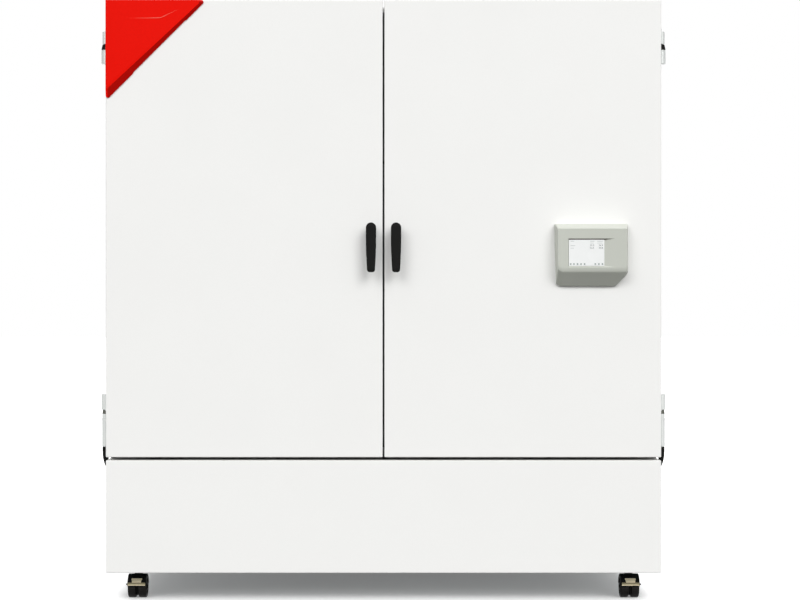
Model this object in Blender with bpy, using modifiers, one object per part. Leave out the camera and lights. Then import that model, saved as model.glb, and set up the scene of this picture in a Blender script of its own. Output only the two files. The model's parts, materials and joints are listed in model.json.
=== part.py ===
"""Two-door refrigerated incubator on casters, in metres, +Z up, its front towards -Y.

The origin is the middle of the overall footprint, on the floor. Every sub-part is one object.
A moving sub-part hangs under an empty that stands on its joint's axis.
"""

import math

import bmesh
import bpy
from mathutils import Matrix, Vector

# Overall form
CABINET_W = 1.250
CABINET_D = 0.840
PLINTH_BOTTOM = 0.067
PLINTH_H = 0.2535
PLINTH_DOOR_GAP = 0.007
DOOR_H = 1.029
DOOR_T = 0.065
DOOR_CENTRE_GAP = 0.004
DOOR_EDGE_RADIUS = 0.002
PLINTH_RETURN = 0.020
HOUSING_DROP = 0.004
SHEET = 0.0015
CLEAR = 0.0003

# Insulated body and chamber
SIDE_WALL = 0.135
TOP_WALL = 0.080
FLOOR_WALL = 0.070
REAR_WALL = 0.080
FRAME_T = 0.003
GASKET_T = 0.012
GASKET_W = 0.020
GASKET_INSET = 0.018
LINER_T = 0.002
PLUG_DEPTH = 0.022
PLUG_GAP = 0.012

# Lever handles and locks
HANDLE_REACH = 0.042
HANDLE_X = 0.028
HANDLE_TOP_DROP = 0.502
LEVER_L = 0.111
LEVER_T = 0.015
LEVER_TOP_R = 0.0115
LEVER_TIP_W = 0.018
LEVER_TIP_R = 0.006
LEVER_EDGE = 0.003
HUB_R = 0.010
HUB_HEAD_R = 0.009
HUB_NECK_R = 0.008
SPINDLE_R = 0.004
SPINDLE_L = 0.034
LOCK_W = 0.030
LOCK_H = 0.120
LOCK_T = 0.018
LOCK_DEPTH = 0.020

# Corner cover on the left door
COVER_LEG = 0.220
COVER_T = 0.006
COVER_BEVEL_HIGH = 0.005
COVER_BEVEL_LOW = 0.015
COVER_TIP_R = 0.005

# Controller on the right door
CONTROL_W = 0.164
CONTROL_H = 0.140
CONTROL_SIDE_INSET = 0.077
CONTROL_TOP_DROP = 0.504
CONTROL_DEPTH = 0.040
CONTROL_RIM = 0.016
CONTROL_CHAMFER = 0.032
CONTROL_CHAMFER_R = 0.0176
CONTROL_CORNER_R = 0.012
CONTROL_SMALL_R = 0.004
CONTROL_FACE_TOP = 0.011
CONTROL_FACE_BOTTOM = 0.030
CONTROL_FACE_LEFT = 0.0043
CONTROL_FACE_RIGHT = 0.0045
CONTROL_LEAN = 0.004
SCREEN_W = 0.080
SCREEN_H = 0.059
SCREEN_LEFT = 0.0288
SCREEN_DROP = 0.0363
SCREEN_SINK = 0.003
SCREEN_T = 0.0015
SCREEN_LIP = 0.003
SCREEN_RAMP = 0.026

# Outside hinges
HINGE_OUT = 0.0105
KNUCKLE_R = 0.0073
SLEEVE_R = 0.0095
LOWER_SLEEVE_R = 0.0081
PIN_R = 0.004
STRAP_T = 0.003
STRAP_L = 0.055
BRACKET_L = 0.050
UPPER_HINGE_DROP = 0.062
UPPER_LEAF_H = 0.029
UPPER_COLLAR_H = 0.0125
UPPER_BRACKET_H = 0.0325
LOWER_HINGE_RISE = 0.1393
LOWER_LEAF_H = 0.036
LOWER_COLLAR_H = 0.022
LOWER_BRACKET_H = 0.0625
LOWER_COLLAR_R = 0.0088
TAIL_L = 0.045
TAIL_R = 0.0073
TAIL_TIP_R = 0.003
TONGUE_T = 0.003
TONGUE_REACH = 0.010
TONGUE_OUT = 0.0063
TONGUE_FRONT = 0.0054
TONGUE_BACK = 0.0036

# Casters
CASTER_H = 0.0703
CASTER_INSET = 0.062
CASTER_FRONT_SETBACK = 0.103
CASTER_REAR_SETBACK = 0.080
CASTER_TRAIL = 0.018
WHEEL_R = 0.025
WHEEL_SIDES = 20
TREAD_W = 0.019
TREAD_ROUND = 0.002
WHEEL_DISH = 0.002
HUB_CAP_R = 0.009
WEB_T = 0.005
WEB_GAP = 0.001
AXLE_R = 0.004
AXLE_NUB = 0.002
HOOD_GAP = 0.0018
HOOD_T = 0.0025
HOOD_SKIRT = 0.004
NECK_R = 0.013
SWIVEL_R = 0.020
SWIVEL_T = 0.008
STEM_R = 0.005
STEM_L = 0.024
PAD_SIZE = 0.060
PAD_T = 0.003
BOSS_R = 0.011
BOSS_H = 0.022
PEDAL_W = 0.043
PEDAL_REACH = 0.0106
PEDAL_FALL = 0.0064
PEDAL_BAR_H = 0.009
PEDAL_T = 0.002
PEDAL_ANGLE = math.radians(45)

# Base frame
TRAY_T = 0.0025
TRAY_RIM = 0.030
POST = 0.030

# Chamber fittings
RACK_T = 0.010
RACK_W = 0.020
RACK_FRONT = 0.080
RACK_REAR = 0.060
RACK_HEAD = 0.040
RACK_SLOT_PITCH = 0.060
RACK_SLOT_W = 0.008
RACK_SLOT_H = 0.012
RAIL_W = 0.025
RAIL_T = 0.003
SHELF_COUNT = 3
SHELF_LIP = 0.012
SHELF_SEAT = 0.017
SHELF_FRONT = 0.045
SHELF_REAR = 0.010
SHELF_SLOTS_X = 8
SHELF_SLOTS_Y = 3
SHELF_SLOT_SHARE = 0.55
DUCT_HALF_W = 0.400
DUCT_D = 0.085
DUCT_FLOOR_GAP = 0.035
DUCT_TOP_GAP = 0.035
DUCT_SLOTS = 9
DUCT_SLOT_W = 0.060
DUCT_SLOT_H = 0.010
DUCT_SLOT_EDGE = 0.040
FAN_DROP = 0.230
FAN_INLET_R = 0.070
FAN_R = 0.078
FAN_D = 0.028
FAN_DISC_T = 0.002
FAN_HUB_R = 0.014
FAN_BLADE_ROOT = 0.003
FAN_BLADES = 10
FAN_BLADE_T = 0.002
FAN_EYE_R = 0.045
MOTOR_R = 0.042
MOTOR_L = 0.034
SHAFT_R = 0.004
EVAPORATOR_W = 0.420
EVAPORATOR_H = 0.180
EVAPORATOR_T = 0.060
EVAPORATOR_RISE = 0.060
EVAPORATOR_FINS = 12
FIN_GAP_SHARE = 0.5
FIN_CORE_SHARE = 0.3
HEATER_R = 0.004
HEATER_W = 0.300
HEATER_H = 0.100
HEATER_OFF = 0.040
HEATER_BEND = 0.020
HEATER_RISE = 0.320

# Machine compartment
COMPRESSOR_R = 0.080
COMPRESSOR_H = 0.165
COMPRESSOR_INSET = 0.225
COMPRESSOR_BACK = 0.240
COMPRESSOR_SEAM_H = 0.084
COMPRESSOR_SEAM_T = 0.007
COMPRESSOR_SEAM_OUT = 0.003
COMPRESSOR_BASE_ROUND = 0.020
FOOT_R = 0.0108
FOOT_H = 0.012
FOOT_INSET = 0.012
FOOT_PLATE_W = 0.168
FOOT_PLATE_D = 0.112
FOOT_PLATE_T = 0.003
CONDENSER_INSET = 0.395
CONDENSER_W = 0.340
CONDENSER_H = 0.190
CONDENSER_T = 0.045
CONDENSER_BACK = 0.025
CONDENSER_FINS = 12
CONDENSER_FAN_R = 0.080
CONDENSER_FAN_BLADES = 6
CONDENSER_FAN_D = 0.016
CONDENSER_MOTOR_R = 0.025
CONDENSER_MOTOR_L = 0.030
CONDENSER_FAN_GAP = 0.016
BRACKET_BAR = 0.012
CONTROL_BOX_INSET = 0.065
CONTROL_BOX_W = 0.160
CONTROL_BOX_D = 0.220
CONTROL_BOX_H = 0.150
CONTROL_BOX_FRONT = 0.120
BOX_SLOTS = 5
BOX_SLOT_RISE = 0.045
BOX_SLOT_H = 0.060
LOUVRE_ROWS = 7
LOUVRE_W = 0.240
LOUVRE_H = 0.006
LOUVRE_PITCH = 0.020
LOUVRE_RISE = 0.070
INLET_INSET = 0.475
INLET_W = 0.050
INLET_H = 0.032
INLET_D = 0.030
INLET_RISE = 0.090
INLET_POCKET_W = 0.030
INLET_POCKET_H = 0.020
INLET_POCKET_D = 0.020

FINE_SIDES = 12
ROUND_SIDES = 16
LARGE_SIDES = 24

# Places worked out from the sizes above
HALF_W = CABINET_W / 2
FRONT_Y = (HANDLE_REACH - CABINET_D) / 2
BACK_Y = FRONT_Y + CABINET_D
PLINTH_TOP = PLINTH_BOTTOM + PLINTH_H
DOOR_BOTTOM = PLINTH_TOP + PLINTH_DOOR_GAP
DOOR_TOP = DOOR_BOTTOM + DOOR_H
DOOR_BACK_Y = FRONT_Y + DOOR_T
DOOR_INNER_X = DOOR_CENTRE_GAP / 2
HOUSING_TOP = DOOR_TOP - HOUSING_DROP
FRAME_Y = DOOR_BACK_Y + GASKET_T
BODY_Y = FRAME_Y + FRAME_T + CLEAR
REAR_SHEET_Y = BACK_Y - SHEET
CHAMBER_X = HALF_W - SIDE_WALL
CHAMBER_LOW = DOOR_BOTTOM + FLOOR_WALL
CHAMBER_HIGH = HOUSING_TOP - TOP_WALL
CHAMBER_BACK = BACK_Y - REAR_WALL
DUCT_FRONT = CHAMBER_BACK - DUCT_D
TRAY_Z = CASTER_H + PAD_T
TRAY_FLOOR = TRAY_Z + TRAY_T
HINGE_Y = DOOR_BACK_Y + GASKET_T / 2
HINGE_X = HALF_W + HINGE_OUT
HANDLE_Z = DOOR_TOP - HANDLE_TOP_DROP - LEVER_TOP_R
FAN_Z = CHAMBER_HIGH - FAN_DROP
AXLE_Z = WHEEL_R * math.cos(math.pi / WHEEL_SIDES)
HOOD_R = WHEEL_R + HOOD_GAP + HOOD_T
COMPRESSOR_X = COMPRESSOR_INSET - HALF_W
INLET_X = INLET_INSET - HALF_W
CONDENSER_X = HALF_W - CONDENSER_INSET
CONTROL_BOX_X = HALF_W - CONTROL_BOX_INSET - CONTROL_BOX_W / 2
SIDES = {"left": -1, "right": 1}


def clear_scene():
    """Removes every object of the scene that the script starts in."""
    for obj in list(bpy.data.objects):
        bpy.data.objects.remove(obj, do_unlink=True)


def make_collection(name):
    """A new collection in the scene."""
    collection = bpy.data.collections.new(name)
    bpy.context.scene.collection.children.link(collection)
    return collection


def make_finish(name, colour, roughness, metallic=0.0):
    """A Principled material from a linear colour."""
    finish = bpy.data.materials.new(name)
    finish.use_nodes = True
    shader = finish.node_tree.nodes["Principled BSDF"]
    shader.inputs["Base Color"].default_value = (*colour, 1.0)
    shader.inputs["Roughness"].default_value = roughness
    shader.inputs["Metallic"].default_value = metallic
    finish.diffuse_color = (*colour, 1.0)
    return finish


clear_scene()
PARTS = make_collection("refrigerated_incubator")
CUTTERS = make_collection("cutters")


# Shape helpers


def pivot_empty(name, place, parent=None):
    """An empty that stands on a joint's axis, for the pieces that turn there."""
    empty = bpy.data.objects.new(name, None)
    empty.empty_display_size = 0.03
    PARTS.objects.link(empty)
    place = Vector(place)
    if parent:
        empty.parent = parent
        empty["place"] = list(place)
        empty.location = place - Vector(parent["place"])
    else:
        empty["place"] = list(place)
        empty.location = place
    return empty


def add_object(name, mesh, finish, place, pivot):
    """Links a mesh as an object at a place, under its pivot's empty where it has one."""
    mesh.materials.append(finish)
    obj = bpy.data.objects.new(name, mesh)
    PARTS.objects.link(obj)
    if pivot:
        obj.parent = pivot
        obj.location = Vector(place) - Vector(pivot["place"])
    else:
        obj.location = place
    return obj


def finish_mesh(bm, name, place, smooth=False):
    """Turns a bmesh in world coordinates into a mesh about its place, with its faces pointing out."""
    bmesh.ops.recalc_face_normals(bm, faces=bm.faces)
    bmesh.ops.translate(bm, vec=-Vector(place), verts=bm.verts)
    mesh = bpy.data.meshes.new(name)
    bm.to_mesh(mesh)
    bm.free()
    if smooth:
        mesh.shade_smooth()
        mesh.set_sharp_from_angle(angle=math.radians(35))
    return mesh


def add_box(bm, low, high):
    """Adds a cube that is stretched between two corners, and returns its vertices."""
    low, high = Vector(low), Vector(high)
    verts = bmesh.ops.create_cube(bm, size=1.0)["verts"]
    bmesh.ops.scale(bm, vec=high - low, verts=verts)
    bmesh.ops.translate(bm, vec=(low + high) / 2, verts=verts)
    return verts


def box(name, low, high, finish=None, pivot=None, front_radius=0.0):
    """A box between two corners, its front edges rounded where a radius is given."""
    bm = bmesh.new()
    add_box(bm, low, high)
    if front_radius:
        edges = [e for e in bm.edges if all(abs(v.co.y - low[1]) < CLEAR for v in e.verts)]
        bmesh.ops.bevel(bm, geom=edges, offset=front_radius, segments=3, profile=0.5, affect="EDGES")
    place = pivot["place"] if pivot else (Vector(low) + Vector(high)) / 2
    return add_object(name, finish_mesh(bm, name, place), finish or STEEL, place, pivot)


def side_box(side, name, near, far, y, z, finish=None, pivot=None):
    """A box on one side of the middle: near and far are its distances from it."""
    low_x, high_x = sorted((side * near, side * far))
    return box(name, (low_x, y[0], z[0]), (high_x, y[1], z[1]), finish, pivot)


def boxes(name, corners, finish=None, pivot=None):
    """Boxes that lie apart, as one mesh, for a pattern."""
    bm = bmesh.new()
    for low, high in corners:
        add_box(bm, low, high)
    place = pivot["place"] if pivot else (0, 0, 0)
    return add_object(name, finish_mesh(bm, name, place), finish or STEEL, place, pivot)


def add_rod(bm, start, end, radius, sides, end_radius=None):
    """Adds a cylinder, or a cone where the end's radius differs."""
    start, end = Vector(start), Vector(end)
    run = end - start
    verts = bmesh.ops.create_cone(
        bm,
        cap_ends=True,
        segments=sides,
        radius1=radius,
        radius2=radius if end_radius is None else end_radius,
        depth=run.length,
    )["verts"]
    turn = Vector((0, 0, 1)).rotation_difference(run).to_matrix()
    bmesh.ops.rotate(bm, cent=(0, 0, 0), matrix=turn, verts=verts)
    bmesh.ops.translate(bm, vec=(start + end) / 2, verts=verts)
    return verts


def rod(name, start, end, radius, finish=None, sides=ROUND_SIDES, end_radius=None, pivot=None):
    """A round bar or a cone between two points."""
    bm = bmesh.new()
    add_rod(bm, start, end, radius, sides, end_radius)
    place = pivot["place"] if pivot else start
    mesh = finish_mesh(bm, name, place, smooth=True)
    return add_object(name, mesh, finish or STEEL, place, pivot)


def turned(name, profile, base, axis, finish, sides=ROUND_SIDES, pivot=None):
    """A turned shape: (radius, height) pairs from its top to its bottom, about an axis through base."""
    mesh = bpy.data.meshes.new(name)
    half_step = math.pi / sides
    points = [(r * math.cos(half_step), r * math.sin(half_step), h) for r, h in profile]
    mesh.from_pydata(points, [(i, i + 1) for i in range(len(points) - 1)], [])
    obj = add_object(name, mesh, finish, base, pivot)
    obj.rotation_euler = Vector(axis).to_track_quat("Z", "Y").to_euler()
    screw = obj.modifiers.new("turn", "SCREW")
    screw.steps = screw.render_steps = sides
    screw.use_merge_vertices = True
    screw.merge_threshold = 0.0001
    screw.use_smooth_shade = True
    return obj


def loft(name, sections, finish, pivot=None):
    """A closed body through sections that have the same number of points each."""
    bm = bmesh.new()
    rings = [[bm.verts.new(point) for point in section] for section in sections]
    for ring, after in zip(rings, rings[1:]):
        for i, vert in enumerate(ring):
            j = (i + 1) % len(ring)
            bm.faces.new((vert, ring[j], after[j], after[i]))
    bm.faces.new(rings[0])
    bm.faces.new(rings[-1])
    place = pivot["place"] if pivot else sections[0][0]
    return add_object(name, finish_mesh(bm, name, place, smooth=True), finish, place, pivot)


def combine(target, helper, operation):
    """Cuts or joins a helper, which leaves the visible parts."""
    modifier = target.modifiers.new(helper.name, "BOOLEAN")
    modifier.operation = operation
    modifier.solver = "EXACT"
    modifier.object = helper
    PARTS.objects.unlink(helper)
    CUTTERS.objects.link(helper)
    helper.hide_render = True
    helper.display_type = "WIRE"


def cut(target, *helpers):
    """Cuts each helper out of the target."""
    for helper in helpers:
        combine(target, helper, "DIFFERENCE")


def join(target, *helpers):
    """Joins each helper to the target."""
    for helper in helpers:
        combine(target, helper, "UNION")


def arc(centre, radius, start, end, steps):
    """Points on an arc in a plane, both ends included, in degrees."""
    points = []
    for i in range(steps + 1):
        angle = math.radians(start + (end - start) * i / steps)
        points.append((centre[0] + radius * math.cos(angle), centre[1] + radius * math.sin(angle)))
    return points


def bore_radius(pin_radius, sides):
    """The radius of a faceted bore whose flats clear a pin all round."""
    return (pin_radius + CLEAR) / math.cos(math.pi / sides)


def spread(low, high, count):
    """The middles of equal shares of a stretch."""
    step = (high - low) / count
    return [low + step * (i + 0.5) for i in range(count)]


# Finishes
COATED = make_finish("coated_steel", (0.84, 0.84, 0.82), 0.38)
STAINLESS = make_finish("stainless_steel", (0.60, 0.60, 0.59), 0.30, 1.0)
STEEL = make_finish("zinc_plated_steel", (0.55, 0.56, 0.55), 0.35, 1.0)
HINGE_METAL = make_finish("hinge_metal", (0.62, 0.62, 0.60), 0.38, 0.7)
BLACK = make_finish("black_plastic", (0.015, 0.015, 0.014), 0.55)
RED = make_finish("red_plastic", (0.80, 0.008, 0.0), 0.30)
CONTROL_GREY = make_finish("grey_plastic", (0.56, 0.58, 0.51), 0.45)
SCREEN_GLASS = make_finish("screen_glass", (0.85, 0.87, 0.86), 0.12)
SEAL = make_finish("seal_rubber", (0.05, 0.05, 0.05), 0.75)
FOAM = make_finish("insulating_foam", (0.80, 0.70, 0.42), 0.90)
TREAD = make_finish("black_tread", (0.02, 0.02, 0.02), 0.60)
CAST = make_finish("black_enamel", (0.03, 0.03, 0.03), 0.35)
FINNED = make_finish("finned_aluminium", (0.70, 0.71, 0.72), 0.35, 1.0)


# Cabinet


def outer_housing():
    """The wrapped sheet: top, sides down to the plinth's lower edge, and a floor under the insulation."""
    back = REAR_SHEET_Y - CLEAR
    low, high = (-HALF_W, BODY_Y, PLINTH_BOTTOM), (HALF_W, back, HOUSING_TOP)
    housing = box("outer_housing", low, high, COATED)
    inner = HALF_W - SHEET
    upper = box(
        "cut_housing_upper",
        (-inner, BODY_Y - SHEET, DOOR_BOTTOM + SHEET),
        (inner, back + SHEET, HOUSING_TOP - SHEET),
    )
    lower = box(
        "cut_housing_lower",
        (-inner, BODY_Y - SHEET, PLINTH_BOTTOM - SHEET),
        (inner, back + SHEET, DOOR_BOTTOM),
    )
    cut(housing, upper, lower)


def plinth_panel():
    """The front pan that covers the machine compartment."""
    back = FRAME_Y + FRAME_T
    panel = box(
        "plinth_panel",
        (-HALF_W, FRONT_Y, PLINTH_BOTTOM),
        (HALF_W, back, PLINTH_TOP),
        COATED,
        front_radius=DOOR_EDGE_RADIUS,
    )
    inner = HALF_W - SHEET
    hollow = box(
        "cut_plinth_hollow",
        (-inner, FRONT_Y + SHEET, PLINTH_BOTTOM + SHEET),
        (inner, back + SHEET, PLINTH_TOP - SHEET),
    )
    cut(panel, hollow)
    under = box(
        "cut_plinth_under",
        (-inner, FRONT_Y + PLINTH_RETURN, PLINTH_BOTTOM - SHEET),
        (inner, back + SHEET, PLINTH_BOTTOM + 2 * SHEET),
    )
    cut(panel, under)


def louvre_slots(middle_x):
    """One field of the rear panel's air slots."""
    slots = []
    for row in range(LOUVRE_ROWS):
        z = PLINTH_BOTTOM + LOUVRE_RISE + row * LOUVRE_PITCH
        low = (middle_x - LOUVRE_W / 2, REAR_SHEET_Y - SHEET, z)
        slots.append((low, (middle_x + LOUVRE_W / 2, BACK_Y + SHEET, z + LOUVRE_H)))
    return slots


def rear_panel():
    """The rear sheet with its air slots and the inlet's window."""
    panel = box(
        "rear_panel",
        (-HALF_W, REAR_SHEET_Y, PLINTH_BOTTOM),
        (HALF_W, BACK_Y, HOUSING_TOP),
        COATED,
    )
    cut(panel, boxes("cut_louvres", louvre_slots(CONDENSER_X) + louvre_slots(COMPRESSOR_X)))
    z = PLINTH_BOTTOM + INLET_RISE
    half_w, half_h = INLET_W / 2 + CLEAR, INLET_H / 2 + CLEAR
    window = box(
        "cut_inlet_window",
        (INLET_X - half_w, REAR_SHEET_Y - SHEET, z - half_h),
        (INLET_X + half_w, BACK_Y + SHEET, z + half_h),
    )
    cut(panel, window)


def mains_inlet():
    """The empty appliance inlet, flush in the rear panel."""
    z = PLINTH_BOTTOM + INLET_RISE
    inlet = box(
        "mains_inlet",
        (INLET_X - INLET_W / 2, BACK_Y - INLET_D, z - INLET_H / 2),
        (INLET_X + INLET_W / 2, BACK_Y, z + INLET_H / 2),
        BLACK,
    )
    pocket = box(
        "cut_inlet_pocket",
        (INLET_X - INLET_POCKET_W / 2, BACK_Y - INLET_POCKET_D, z - INLET_POCKET_H / 2),
        (INLET_X + INLET_POCKET_W / 2, BACK_Y + SHEET, z + INLET_POCKET_H / 2),
    )
    cut(inlet, pocket)


def insulation_body():
    """The foam between the housing and the chamber, open to the front."""
    side = HALF_W - SHEET - CLEAR
    foam = box(
        "insulation_body",
        (-side, BODY_Y, DOOR_BOTTOM + SHEET + CLEAR),
        (side, REAR_SHEET_Y - CLEAR, HOUSING_TOP - SHEET - CLEAR),
        FOAM,
    )
    wall = SHEET + CLEAR
    room = box(
        "cut_insulation_room",
        (-CHAMBER_X - wall, BODY_Y - FRAME_T, CHAMBER_LOW - wall),
        (CHAMBER_X + wall, CHAMBER_BACK + wall, CHAMBER_HIGH + wall),
    )
    cut(foam, room)


def inner_chamber():
    """The stainless chamber, a pan that opens to the front."""
    chamber = box(
        "inner_chamber",
        (-CHAMBER_X - SHEET, BODY_Y, CHAMBER_LOW - SHEET),
        (CHAMBER_X + SHEET, CHAMBER_BACK + SHEET, CHAMBER_HIGH + SHEET),
        STAINLESS,
    )
    room = box(
        "cut_chamber_room",
        (-CHAMBER_X, BODY_Y - FRAME_T, CHAMBER_LOW),
        (CHAMBER_X, CHAMBER_BACK, CHAMBER_HIGH),
    )
    cut(chamber, room)


def front_frame():
    """The ring that the gaskets close on, round the chamber's mouth."""
    frame = box(
        "front_frame",
        (-HALF_W, FRAME_Y, DOOR_BOTTOM),
        (HALF_W, FRAME_Y + FRAME_T, HOUSING_TOP),
        COATED,
    )
    mouth = box(
        "cut_frame_mouth",
        (-CHAMBER_X, FRAME_Y - FRAME_T, CHAMBER_LOW),
        (CHAMBER_X, FRAME_Y + 2 * FRAME_T, CHAMBER_HIGH),
    )
    cut(frame, mouth)


def caster_places():
    """Name, sign of x, and y of each caster's swivel axis."""
    front, rear = FRONT_Y + CASTER_FRONT_SETBACK, BACK_Y - CASTER_REAR_SETBACK
    for depth, y in (("front", front), ("rear", rear)):
        for side, sign in SIDES.items():
            yield f"{depth}_{side}", sign * (HALF_W - CASTER_INSET), y


def base_frame():
    """The welded tray with its four posts, the caster pads and the bosses that take the caster stems."""
    side = HALF_W - SHEET - CLEAR
    front, back = FRONT_Y + SHEET + CLEAR, REAR_SHEET_Y - CLEAR
    frame = box("base_frame", (-side, front, TRAY_Z), (side, back, TRAY_Z + TRAY_RIM), STEEL)
    tray = box(
        "cut_tray",
        (-side + TRAY_T, front + TRAY_T, TRAY_FLOOR),
        (side - TRAY_T, back - TRAY_T, TRAY_Z + 2 * TRAY_RIM),
    )
    cut(frame, tray)
    posts, pads = [], []
    for post_y in (BODY_Y + POST, back - POST):
        for sign in SIDES.values():
            low_x, high_x = sorted((sign * side, sign * (side - POST)))
            high = (high_x, post_y + POST, DOOR_BOTTOM - CLEAR)
            posts.append(((low_x, post_y, TRAY_Z + TRAY_T / 2), high))
    posts = [(low, (high[0], min(high[1], back), high[2])) for low, high in posts]
    half = PAD_SIZE / 2
    bosses, bores = bmesh.new(), bmesh.new()
    for _, x, y in caster_places():
        pads.append(((x - half, y - half, CASTER_H), (x + half, y + half, TRAY_Z + TRAY_T / 2)))
        add_rod(bosses, (x, y, TRAY_Z), (x, y, TRAY_FLOOR + BOSS_H), BOSS_R, ROUND_SIDES)
        bore = bore_radius(STEM_R, ROUND_SIDES)
        top = TRAY_FLOOR + BOSS_H + PAD_T
        add_rod(bores, (x, y, CASTER_H - PAD_T), (x, y, top), bore, ROUND_SIDES)
    origin = (0, 0, 0)
    boss_mesh = finish_mesh(bosses, "join_caster_bosses", origin)
    bore_mesh = finish_mesh(bores, "cut_caster_bores", origin)
    join(frame, boxes("join_posts", posts), boxes("join_caster_pads", pads))
    join(frame, add_object("join_caster_bosses", boss_mesh, STEEL, origin, None))
    cut(frame, add_object("cut_caster_bores", bore_mesh, STEEL, origin, None))


# Doors


def door_shell(side, name, pivot):
    """A door's steel pan, open to the back, with the spindle's hole."""
    low_x, high_x = sorted((side * DOOR_INNER_X, side * HALF_W))
    shell = box(
        f"door_shell_{name}",
        (low_x, FRONT_Y, DOOR_BOTTOM),
        (high_x, DOOR_BACK_Y, DOOR_TOP),
        COATED,
        pivot,
        DOOR_EDGE_RADIUS,
    )
    hollow = box(
        f"cut_door_hollow_{name}",
        (low_x + SHEET, FRONT_Y + SHEET, DOOR_BOTTOM + SHEET),
        (high_x - SHEET, DOOR_BACK_Y + SHEET, DOOR_TOP - SHEET),
    )
    cut(shell, hollow, spindle_bore(f"cut_door_spindle_{name}", side, SHEET))


def spindle_bore(name, side, extra):
    """A cutter for a handle's spindle, wider than its running clearance by extra."""
    x = side * HANDLE_X
    start = (x, FRONT_Y - SHEET, HANDLE_Z)
    end = (x, FRONT_Y + SPINDLE_L + LOCK_T, HANDLE_Z)
    return rod(name, start, end, bore_radius(SPINDLE_R, FINE_SIDES) + extra, sides=FINE_SIDES)


def lock_box(side, name, grow, finish):
    """A lock case's box, or the foam's pocket for it where it grows."""
    x = side * HANDLE_X
    y = FRONT_Y + LOCK_DEPTH
    return box(
        name,
        (x - LOCK_W / 2 - grow, y - grow, HANDLE_Z - LOCK_H / 2 - grow),
        (x + LOCK_W / 2 + grow, y + LOCK_T + grow, HANDLE_Z + LOCK_H / 2 + grow),
        finish,
    )


def plug_span(side):
    """The stretch of x and z that a door's raised inner panel takes."""
    inner = GASKET_W + PLUG_GAP / 2
    low_x, high_x = sorted((side * inner, side * (CHAMBER_X - PLUG_GAP)))
    return low_x, high_x, CHAMBER_LOW + PLUG_GAP, CHAMBER_HIGH - PLUG_GAP


def door_insulation(side, name, pivot):
    """The foam of a door, with its pocket for the lock."""
    wall = SHEET + CLEAR
    low_x, high_x = sorted((side * (DOOR_INNER_X + wall), side * (HALF_W - wall)))
    back = DOOR_BACK_Y - LINER_T - CLEAR
    foam = box(
        f"door_insulation_{name}",
        (low_x, FRONT_Y + wall, DOOR_BOTTOM + wall),
        (high_x, back, DOOR_TOP - wall),
        FOAM,
        pivot,
    )
    x0, x1, z0, z1 = plug_span(side)
    skin = LINER_T + CLEAR
    core = box(
        f"join_plug_core_{name}",
        (x0 + skin, back - wall, z0 + skin),
        (x1 - skin, DOOR_BACK_Y + PLUG_DEPTH - skin, z1 - skin),
    )
    join(foam, core)
    cut(foam, lock_box(side, f"cut_lock_pocket_{name}", CLEAR, FOAM))
    cut(foam, spindle_bore(f"cut_foam_spindle_{name}", side, SHEET))


def door_liner(side, name, pivot):
    """The inner skin of a door, with the raised panel that reaches into the chamber's mouth."""
    wall = SHEET + CLEAR
    low_x, high_x = sorted((side * (DOOR_INNER_X + wall), side * (HALF_W - wall)))
    liner = box(
        f"door_liner_{name}",
        (low_x, DOOR_BACK_Y - LINER_T, DOOR_BOTTOM + wall),
        (high_x, DOOR_BACK_Y, DOOR_TOP - wall),
        STAINLESS,
        pivot,
    )
    x0, x1, z0, z1 = plug_span(side)
    back = DOOR_BACK_Y + PLUG_DEPTH
    plug = box(f"join_plug_{name}", (x0, DOOR_BACK_Y - LINER_T / 2, z0), (x1, back, z1))
    hollow = box(
        f"cut_plug_{name}",
        (x0 + LINER_T, DOOR_BACK_Y - 2 * LINER_T, z0 + LINER_T),
        (x1 - LINER_T, back - LINER_T, z1 - LINER_T),
    )
    join(liner, plug)
    cut(liner, hollow)


def door_gasket(side, name, pivot):
    """The seal that runs round a door's inner face."""
    low_x, high_x = sorted((side * CLEAR, side * (HALF_W - GASKET_INSET)))
    low_z, high_z = DOOR_BOTTOM + GASKET_INSET, DOOR_TOP - GASKET_INSET
    gasket = box(
        f"door_gasket_{name}",
        (low_x, DOOR_BACK_Y + CLEAR, low_z),
        (high_x, FRAME_Y - CLEAR, high_z),
        SEAL,
        pivot,
    )
    inside = box(
        f"cut_gasket_{name}",
        (low_x + GASKET_W, DOOR_BACK_Y - CLEAR, low_z + GASKET_W),
        (high_x - GASKET_W, FRAME_Y + CLEAR, high_z - GASKET_W),
    )
    cut(gasket, inside)


def lock_case(side, name, pivot):
    """The lock in a door, which the handle's spindle enters."""
    case = lock_box(side, f"lock_case_{name}", 0.0, STEEL)
    place = Vector(case.location)
    case.parent = pivot
    case.location = place - Vector(pivot["place"])
    cut(case, spindle_bore(f"cut_lock_spindle_{name}", side, 0.0))


def lever_outline(x, z, inset):
    """The lever seen from the front: a round head above a narrower square-ended tip."""
    top = LEVER_TOP_R - inset
    tip = LEVER_TIP_R - inset
    half = LEVER_TIP_W / 2 - inset
    low = z + LEVER_TOP_R - LEVER_L + inset
    points = arc((x, z), top, 0, 180, 8)
    points += arc((x - half + tip, low + tip), tip, 180, 270, 3)
    points += arc((x + half - tip, low + tip), tip, 270, 360, 3)
    return points


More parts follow.
